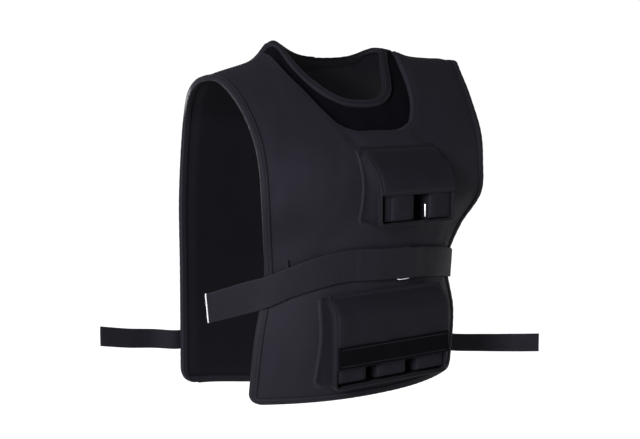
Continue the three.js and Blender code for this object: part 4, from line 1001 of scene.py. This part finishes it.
def flap(stem, pouch, seed):
    """The padded flap: sewn to the panel at its top, bent over the weights, hanging in front of them."""
    reach, end = pouch.half + FLAP_OVERHANG, pouch.flap_end
    hanging = np.linspace(pouch.fold, end, max(8, int((pouch.fold - end) / 2)))
    drop = np.concatenate([np.linspace(pouch.top + 4, pouch.fold, 46)[:-1], hanging])
    across = np.linspace(-1, 1, 90)
    v = (pouch.top - drop) / (pouch.top - pouch.fold)
    half = mix(reach - max(0, pouch.flare) * FLAP_TOP_INSET, reach, smooth(v))[:, None]
    from_side = half * (1 - np.abs(across[None]))
    from_end = np.repeat(drop[:, None] - end, len(across), 1)
    to_side, to_end = rounded(from_side, from_end, FLAP_CORNER)
    x, z = pouch.middle + np.sign(across[None]) * (half - to_side), end + to_end
    back = np.minimum(pouch_face(pouch, x, z), front_y(x, z)) - 2 * GAP
    near = np.minimum(from_side, from_end)
    sewn = smooth((pouch.top - z) / 9)
    pad = mix(1.6, FLAP_THICKNESS * mix(0.5, 1, smooth(near / 9)), sewn)
    puff = (0.9 + 0.8 * bumps(x, z, 48, seed)) * smooth(near / 22) * sewn
    puff -= 0.5 * bell((near - FLAP_STITCH_INSET) / 1.1)
    obj, front = slab(stem + "_flap_cloth", x, z, back - pad - puff, back, rim=0.45, uv=cell_steps)
    dress(obj, POUCH_CLOTH, [stem + "_flap"])

    def column(row, sign, inset):
        return nearest(from_side[row] - inset, np.sign(across) == sign)

    inset = FLAP_STITCH_INSET
    rows = [row for row in range(6, len(drop)) if drop[row] > end + inset]
    last = int(np.argmin(np.abs(drop - end - inset)))
    line = [front[row, column(row, -1, inset)] for row in rows]
    line += [front[last, k] for k in range(column(last, -1, inset), column(last, 1, inset) + 1)]
    line += [front[row, column(row, 1, inset)] for row in rows[::-1]]
    top_line = front[4, 3:-3]
    ups = [np.tile(unit(np.array([0, -1, 0.25])), (len(line), 1)), *facing([top_line], TILTED_UP)]
    stitches(stem + "_flap_stitching", [np.array(line), top_line], ups)
    tack_rows = np.nonzero((drop < pouch.top - 1) & (drop > pouch.top - 13))[0]
    tacks = [
        np.array([front[row, column(row, sign, from_edge)] for row in tack_rows])
        for sign in (-1, 1) for from_edge in FLAP_TACKS
    ]
    stitches(stem + "_flap_tacks", tacks, facing(tacks, TILTED_UP), length=SHORT_STITCH, sunk=0.05)


SLEEVE_CORNER, SLEEVE_SEAM_INSET, SLEEVE_SWELL, SLEEVE_EASE = 5.5, 5.2, 1.5, 1.6
SEAM_EDGE_REACH, SEAM_EDGE_SINK, SEAM_EDGE_THICKNESS = 11, 3.2, 1.4


def sleeve(name, pouch, middle, sizes, seed):
    """A weight sleeve: a filled cloth brick with rounded edges and a sewn edge down each side."""

    def eased(count):
        t = np.linspace(-1, 1, count)
        return np.sign(t) * (1 - (1 - np.abs(t)) ** SLEEVE_EASE)

    def drop(distance):
        return r - np.sqrt(np.maximum(0, r * r - np.square(r - np.minimum(distance, r))))

    half, half_height, r = sizes.width / 2, (sizes.top - sizes.bottom) / 2, SLEEVE_CORNER
    across, down = np.meshgrid(eased(30), eased(34))
    x, z = middle + across * half, (sizes.top + sizes.bottom) / 2 - down * half_height
    from_side, from_end = half * (1 - np.abs(across)), half_height * (1 - np.abs(down))
    fall = np.minimum(drop(from_side) + drop(from_end), r * 1.4)
    swell = SLEEVE_SWELL * smooth(from_side / 14) * smooth(from_end / 14)
    swell += 0.7 * bumps(x, z, 26, seed) * smooth(np.minimum(from_side, from_end) / 8)
    seam = 0.8 * bell((from_side - SLEEVE_SEAM_INSET) / 0.9)
    face = pouch_face(pouch, x, z) + SLEEVE_SETBACK
    near = face + fall - np.minimum(swell, SLEEVE_SETBACK + 0.9) + seam
    far = np.maximum(front_y(x, z) - BACKING - 1 - fall, face + fall + 2)
    obj, front = slab(name + "_cloth", x, z, near, far, rim=0.0)
    dress(obj, POUCH_CLOTH, [name])
    columns = [nearest(from_side[17] - SLEEVE_SEAM_INSET, np.sign(across[17]) == sign) for sign in (-1, 1)]
    lines = [front[3:-3, k] + [0, 0.1, 0] for k in columns]
    stitches(name + "_stitching", lines, facing(lines, TOWARDS_VIEWER), length=SHORT_STITCH)


def sleeve_seam(name, pouch, middle, sizes):
    """The flat sewn edge that stands out beside a sleeve, with its two stitch rows."""
    left = middle - sizes.width / 2
    down = np.linspace(sizes.top - 6, sizes.bottom + 1.5, 40)
    x, z = np.meshgrid(np.linspace(left - SEAM_EDGE_REACH, left + 3, 28), down)
    face = pouch_face(pouch, x, z) + SLEEVE_SETBACK + SEAM_EDGE_SINK + 0.5 * bumps(x, z, 20, 91)
    obj, front = slab(name + "_edge", x, z, face, face + SEAM_EDGE_THICKNESS, rim=0.3)
    dress(obj, POUCH_CLOTH)
    lines = [front[2:-2, k] for k in (9, 15)]
    stitches(name + "_edge_stitching", lines, facing(lines, TOWARDS_VIEWER), length=SHORT_STITCH)


ROD_RADIUS, ROD_TOP, ROD_BOTTOM, ROD_SETBACK, ROD_FROM_SLEEVE = 1.6, 17, 40, 7, 5


def weight_edge():
    """The polished edge of a weight that shows between the two chest sleeves."""
    middle = FIRST_CHEST_SLEEVE + CHEST_SLEEVES.pitch - CHEST_SLEEVES.width / 2 - ROD_FROM_SLEEVE
    down = np.linspace(-1, 1, 14)[:, None]
    z = CHEST_POUCH.fold - mix(ROD_TOP, ROD_BOTTOM, (down + 1) / 2)
    turn = np.linspace(0, 2 * np.pi, 12, endpoint=False)[None]
    size = ROD_RADIUS * np.sqrt(np.clip(1 - down**6, 0.02, 1))
    y = -CHEST_POUCH.face + ROD_SETBACK + size * np.sin(turn)
    points = np.stack(np.broadcast_arrays(middle + size * np.cos(turn), y, z), -1)
    band("weight_edge", points, STEEL)


def hook_strip():
    """The hook-and-loop strip across the belly flap."""
    pouch = BELLY_POUCH
    reach = pouch.half + FLAP_OVERHANG - 3
    down = np.linspace(HOOK_STRIP_TOP, HOOK_STRIP_TOP - HOOK_STRIP_HEIGHT, 20)
    x, z = np.meshgrid(np.linspace(-reach, reach, 120) + pouch.middle, down)
    seat = -pouch.face - 3 * GAP - FLAP_THICKNESS - 0.9
    puff = 0.8 * bumps(x, z, 48, 61) * smooth((pouch.half - np.abs(x - pouch.middle)) / 22)
    obj, front = slab("belly_hook_tape", x, z, seat - HOOK_STRIP_THICKNESS - puff, seat - puff + 1.2, rim=0.3)
    dress(obj, HOOK, ["belly_hook_strip"])
    lines = [front[k, 2:-2] - [0, 0.1, 0] for k in (2, -3)]
    stitches("belly_hook_stitching", lines, facing(lines, TOWARDS_VIEWER))


# Straps
def resampled(edges, count):
    """Pairs of edge points along a strap, spread evenly on a smooth curve through them."""
    edges = np.array(edges, float)
    middle = edges.mean(1)
    at = distances(middle)
    flat = Curve(at, edges.reshape(len(edges), 6))
    return flat(np.linspace(0, at[-1], count)).reshape(count, 2, 3), at[-1]


WEBBING_STEP = 2.5
WEBBING_PROFILE = [  # share of the width, share of the thickness
    (0, 0.15), (0.012, 0.8), (0.04, 1), (0.1, 1), (0.2, 1), (0.35, 1), (0.5, 1), (0.65, 1), (0.8, 1), (0.9, 1),
    (0.96, 1), (0.988, 0.8), (1, 0.15),
]


def webbing(name, edges, thickness, replaces, seed, ripple):
    """A strap with rounded selvages, slightly rippled along its edges."""
    count = max(60, int(distances(np.array(edges).mean(1))[-1] / WEBBING_STEP))
    edges, length = resampled(edges, count)
    along = unit(np.gradient(edges.mean(1), axis=0))
    up = edges[:, 1] - edges[:, 0]
    out = unit(np.cross(along, up))
    at = np.linspace(0, length, count)
    share, body = np.array(WEBBING_PROFILE).T
    edge_wave = np.abs(share - 0.5) * 2
    swells = bumps(at[:, None], (edge_wave * 20 * np.sign(share - 0.5))[None], 70, seed)
    wave = ripple * swells * edge_wave[None] ** 2
    base = edges[:, :1] + up[:, None] * share[None, :, None] + out[:, None] * wave[..., None]
    front = base + out[:, None] * (thickness * (0.5 + body / 2))[None, :, None]
    rear = base + out[:, None] * (thickness * (0.5 - body / 2))[None, :, None]
    width = np.linalg.norm(up, axis=1).mean()
    uv = np.stack(np.broadcast_arrays(share[None] * width, at[:, None]), -1)
    obj = shell(name, front, rear, uv, rim=0.2)
    fix_normals(obj)
    dress(obj, BELT_CLOTH, replaces)
    return front, out, at, length, obj


def upright(points, width, leans=None):
    """Edge points of a strap that stands upright along a path, leaning by some degrees at each point."""
    points = np.array(points, float)
    forward = np.empty_like(points)
    forward[1:-1], forward[0], forward[-1] = points[2:] - points[:-2], points[1] - points[0], points[-1] - points[-2]
    pairs = []
    for point, direction, lean in zip(points, unit(forward), leans or [0] * len(points)):
        up = np.array(Matrix.Rotation(math.radians(lean), 3, Vector(direction)) @ Vector((0, 0, 1)))
        pairs.append((point - up * width / 2, point + up * width / 2))
    return pairs


def lying_on(face, x, z, width, lift):
    """The lower and upper edge point of a strap that lies on a panel."""
    return [on_torso(x, run_at_height(x, height, face), lift) for height in (z - width / 2, z + width / 2)]


def middle_of(pair):
    return (np.asarray(pair[0]) + np.asarray(pair[1])) / 2


def belt_lift(x):
    """How far the belt stands off the panel: higher over the ring and its tab."""
    high = RING_LIFT + RING_WIRE + TAB_THICKNESS + 3 * GAP
    reach = RING_WIDTH / 2 + RING_WIRE + (TAB_LENGTH if x < RING_X else 0)
    return mix(high, BELT_LIFT, float(smooth((abs(x - RING_X) - reach) / 30)))


BELT_JOINS, BELT_SEWN_ROWS = (-52, -45), (6, BELT_SEWN_LENGTH - 14)  # across, back from the end


def waist_belt():
    """The belt: free end, over the front, round the left side, sewn to the back panel."""
    across = np.linspace(BELT_ROWS[0, 0], BELT_ROWS[-1, 0], 40)
    in_front = [lying_on("front", x, belt_middle(x), BELT_WIDTH, belt_lift(x)) for x in across]
    start = middle_of(in_front[0])
    free = [start + BELT_FREE_LENGTH * np.array([-out, back, -drop]) for out, back, drop, _ in BELT_FREE_END]
    leans = [0] + [row[3] for row in BELT_FREE_END]
    free_edges = upright([start, *free], BELT_WIDTH, leans)[1:][::-1]
    leave = middle_of(in_front[-1])
    back_edge = float(half_width(run_at_height(0, leave[2], "back"), 1))
    sewn = [
        lying_on("back", back_edge - BINDING_WIDTH / 2 - share * BELT_SEWN_LENGTH, leave[2], BELT_WIDTH, 2.8 + 2 * GAP)
        for share in (0, 0.25, 0.5, 0.75, 1)
    ]
    arrive = on_torso(back_edge, run_at_height(back_edge, leave[2], "back"), 0.0)
    round_side = [mix(leave, arrive, along) + [bow * BELT_WIDTH, 0, 0] for along, bow in BELT_TO_BACK]
    edges = [*free_edges, *in_front, *upright(round_side, BELT_WIDTH), *sewn]
    front, out, at, length, obj = webbing("waist_belt_webbing", edges, BELT_THICKNESS, ["waist_belt"], 71, 0.9)
    inward = unit(front[1] - front[0])
    cap = np.stack([front[0] - inward * 0.5, front[0] + inward * 0.8], 0)
    rear = cap - out[0] * (BELT_THICKNESS + 0.5)
    seal = shell("belt_end_seal", cap + out[0] * 0.25, rear, cell_steps(cap), rim=0.3)
    fix_normals(seal)
    dress(seal, SEALED)
    on_chest = front[:, 6, 1] < -60
    joins = [(nearest(front[:, 6, 0] - x, on_chest), 1) for x in BELT_JOINS]
    sewn_rows = [(int(np.argmin(np.abs(at - (length - back)))), 2) for back in BELT_SEWN_ROWS]
    cross_stitches("waist_belt_stitching", front, out, [*joins, *sewn_rows])


def cross_stitches(name, front, out, rows):
    """Stitch rows across a strap, each as a row number and how many points stay free at either edge."""
    lines = [front[k, free:-free] for k, free in rows]
    stitches(name, lines, [np.tile(out[k], (len(line), 1)) for (k, _), line in zip(rows, lines)])


def rear_strap():
    """The strap across the back panel, with both ends free."""
    edge = float(half_width(run_at_height(0, STRAP_MIDDLE_Z, "back"), 1))
    over = BINDING_THICKNESS + STRAP_LIFT + 1.4
    on_back = []
    for x in np.linspace(edge + 2, -edge - 2, 40):
        lift = mix(STRAP_LIFT + 1, over + 0.6, float(smooth((abs(x) - edge + 30) / 20)))
        on_back.append(lying_on("back", x, STRAP_MIDDLE_Z - STRAP_SLOPE * x, STRAP_WIDTH, lift))

    def free_end(root, rows, sign, reach):
        return [middle_of(root) + reach * np.array([sign * out, -forward, rise]) for out, forward, rise in rows]

    left = upright(free_end(on_back[0], STRAP_LEFT_END, 1, STRAP_LEFT_REACH)[::-1], STRAP_WIDTH)
    right = upright(free_end(on_back[-1], STRAP_RIGHT_END, -1, STRAP_RIGHT_REACH), STRAP_WIDTH)
    edges = [*left, *on_back, *right]
    front, out, _, length, obj = webbing("rear_strap_webbing", edges, STRAP_THICKNESS, ["rear_strap"], 73, 0.6)
    behind = front[:, 6, 1] >= 60
    places = (-edge + 26, -edge + 34, edge - 34, edge - 26, -6, 6)
    cross_stitches("rear_strap_stitching", front, out, [(nearest(front[:, 6, 0] - x, behind), 1) for x in places])


def ring():
    run = float(run_at_height(RING_X, RING_Z, "front"))
    half_x, half_s, per_corner, sides = RING_WIDTH / 2, RING_HEIGHT / 2, 10, 14
    outline = []
    for sx, ss, start in [(1, 1, 0), (-1, 1, 1), (-1, -1, 2), (1, -1, 3)]:
        for i in range(per_corner + 1):
            turn = (start + i / per_corner) * math.pi / 2
            nx, ns = math.cos(turn), math.sin(turn)
            corner = sx * (half_x - RING_CORNER), ss * (half_s - RING_CORNER)
            outline.append((corner[0] + RING_CORNER * nx, corner[1] + RING_CORNER * ns, nx, ns))
    path = np.array(outline)
    turn = np.linspace(0, 2 * np.pi, sides, endpoint=False)
    out = RING_WIRE / 2 * np.cos(turn)
    lift = RING_LIFT + RING_WIRE / 2 + RING_WIRE / 2 * np.sin(turn)
    x = RING_X + path[:, :1] + path[:, 2:3] * out[None]
    s = run + path[:, 1:2] + path[:, 3:4] * out[None]
    points = on_torso(x, s, np.broadcast_to(lift, x.shape))
    rows, cols = points.shape[:2]
    obj = finish_mesh("belt_ring_wire", points.reshape(-1, 3), tube_faces(rows, cols, True), np.zeros((rows * cols, 2)))
    fix_normals(obj)
    dress(obj, STEEL, ["belt_ring"])


def ring_tab():
    run = float(run_at_height(RING_X, RING_Z, "front"))
    bar_x, bar_lift = RING_X - RING_WIDTH / 2, RING_LIFT + RING_WIRE / 2
    inside = RING_WIRE / 2 + 1.5 * GAP + TAB_THICKNESS / 2
    tail = bar_x - TAB_LENGTH
    turn = np.linspace(-np.pi / 2, np.pi / 2, 12)
    under = bar_lift - inside
    profile = np.array([
        (tail, under), (bar_x - 12, under), (bar_x - 5, under),
        *zip(bar_x + inside * np.cos(turn), bar_lift + inside * np.sin(turn)),
        (bar_x - 5, bar_lift + inside - 0.4), (bar_x - 14, bar_lift), (tail + 6, under + 2), (tail, under + 1.8),
    ])
    step = unit(np.gradient(profile, axis=0))
    s = run + np.linspace(-0.5, 0.5, 9)[None] * TAB_WIDTH

    def layer(grow):
        x = (profile[:, 0] + grow * step[:, 1])[:, None]
        lift = (profile[:, 1] - grow * step[:, 0])[:, None]
        x, ss, lift = np.broadcast_arrays(x, s, lift)
        return on_torso(x, ss, lift)

    outer, inner = layer(TAB_THICKNESS / 2), layer(-TAB_THICKNESS / 2)
    obj = shell("ring_tab_webbing", outer, inner, cell_steps(outer), rim=0.4)
    fix_normals(obj)
    dress(obj, BELT_CLOTH, ["ring_tab"])


# The vest
panel("front")
panel("back")
panel_stitching()
yoke()
for face in ("front", "back"):
    tape(f"{face}_edge_tape", lambda d: outline_spot(face, max(0, d)), lambda s: 0 * s, False, [face + "_binding"])
tape("neck_band", neck_spot, neck_level, True, ["neck_binding"], proud=0.9, width=NECK_BAND_WIDTH, material=NECK_TAPE_SHADED_BEHIND)
LOADS = (("chest", CHEST_POUCH, CHEST_SLEEVES, 81), ("belly", BELLY_POUCH, BELLY_SLEEVES, 83))
for stem, pouch, sleeves, seed in LOADS:
    gusset(stem + "_pouch", pouch)
    back_wall(stem + "_pouch", pouch)
    flap(stem, pouch, seed)
    for k in range(sleeves.count):
        middle = pouch.middle + sleeves.first + k * sleeves.pitch
        sleeve(f"{stem}_sleeve_{k + 1}", pouch, middle, sleeves, seed + 10 + k)
sleeve_seam("chest_sleeve_1", CHEST_POUCH, FIRST_CHEST_SLEEVE, CHEST_SLEEVES)
weight_edge()
hook_strip()
waist_belt()
rear_strap()
ring()
ring_tab()

# Stage, light and camera
FLOOR_Z, STAGE_RADIUS = -1.35, 9.0
CAMERA_AZIMUTH, CAMERA_PITCH = 35.0, 7.2
CAMERA_DISTANCE, CAMERA_HEIGHT = 1.89, -0.052
PHOTO_WIDTH, FOCAL_PIXELS, PRINCIPAL_X = 640, 1150, 328
SENSOR = 36.0
GLOW = dict(start=0.4, end=1.7, low=0.25, high=1.0)  # metres from below the vest, glow of the floor
SKY = dict(start=0.19, end=0.36, low=1.05, high=0.08)  # rise of the gaze, brightness
MIDDLE = (0, 0, -0.28)
LIGHTS = [  # name, place, target, size, power
    ("key", (-1.6, -1.0, 0.25), (0, 0, -0.15), (0.6, 0.8), 112),
    ("fill", (0.9, -2.2, -0.1), MIDDLE, (1.2, 1.2), 3),
    ("back_fill", (0.4, 2.3, -0.45), MIDDLE, (1.4, 1.4), 60),
]


def stage():
    """A pale floor that glows softly away from the vest, under a bright, even sky that is dim overhead."""
    material, tree, shader, place = new_material("pale_floor")
    away = node(tree, "ShaderNodeVectorMath", {0: place}, operation="LENGTH").outputs["Value"]
    fill(tree, shader, {
        "Base Color": (0.6, 0.6, 0.6, 1), "Roughness": 0.9, "Emission Color": (1, 1, 1, 1),
        "Emission Strength": ramp(tree, away, **GLOW),
    })
    bpy.ops.mesh.primitive_circle_add(vertices=96, radius=STAGE_RADIUS, fill_type="NGON", location=(0, 0, FLOOR_Z))
    floor = bpy.context.object
    floor.name = "floor"
    floor.data.materials.append(material)
    world = bpy.data.worlds.new("studio")
    bpy.context.scene.world = world
    world.use_nodes = True
    tree = world.node_tree
    gaze = node(tree, "ShaderNodeTexCoord").outputs["Generated"]
    height = node(tree, "ShaderNodeSeparateXYZ", {0: gaze}).outputs["Z"]
    fill(tree, tree.nodes["Background"], {0: (1, 1, 1, 1), 1: ramp(tree, height, **SKY)})


def area_light(name, place, target, size, power):
    data = bpy.data.lights.new(name, "AREA")
    data.shape, data.size, data.size_y, data.energy = "RECTANGLE", size[0], size[1], power
    light = bpy.data.objects.new(name, data)
    light.location = place
    light.rotation_euler = (Vector(target) - Vector(place)).to_track_quat("-Z", "Y").to_euler()
    bpy.context.scene.collection.objects.link(light)


def camera():
    data = bpy.data.cameras.new("camera")
    data.sensor_width = SENSOR
    data.lens = FOCAL_PIXELS / PHOTO_WIDTH * SENSOR
    data.shift_x = (PHOTO_WIDTH / 2 - PRINCIPAL_X) / PHOTO_WIDTH
    data.clip_start, data.clip_end = 0.05, 60
    azimuth, pitch = math.radians(CAMERA_AZIMUTH), math.radians(CAMERA_PITCH)
    level = Vector((math.sin(azimuth), math.cos(azimuth), 0))
    obj = bpy.data.objects.new("camera", data)
    obj.location = -level * CAMERA_DISTANCE + Vector((0, 0, CAMERA_HEIGHT))
    gaze = level * math.cos(pitch) - Vector((0, 0, math.sin(pitch)))
    obj.rotation_euler = gaze.to_track_quat("-Z", "Y").to_euler()
    bpy.context.scene.collection.objects.link(obj)
    bpy.context.scene.camera = obj


stage()
for light in LIGHTS:
    area_light(*light)
camera()
bpy.context.scene.view_settings.view_transform = "Standard"
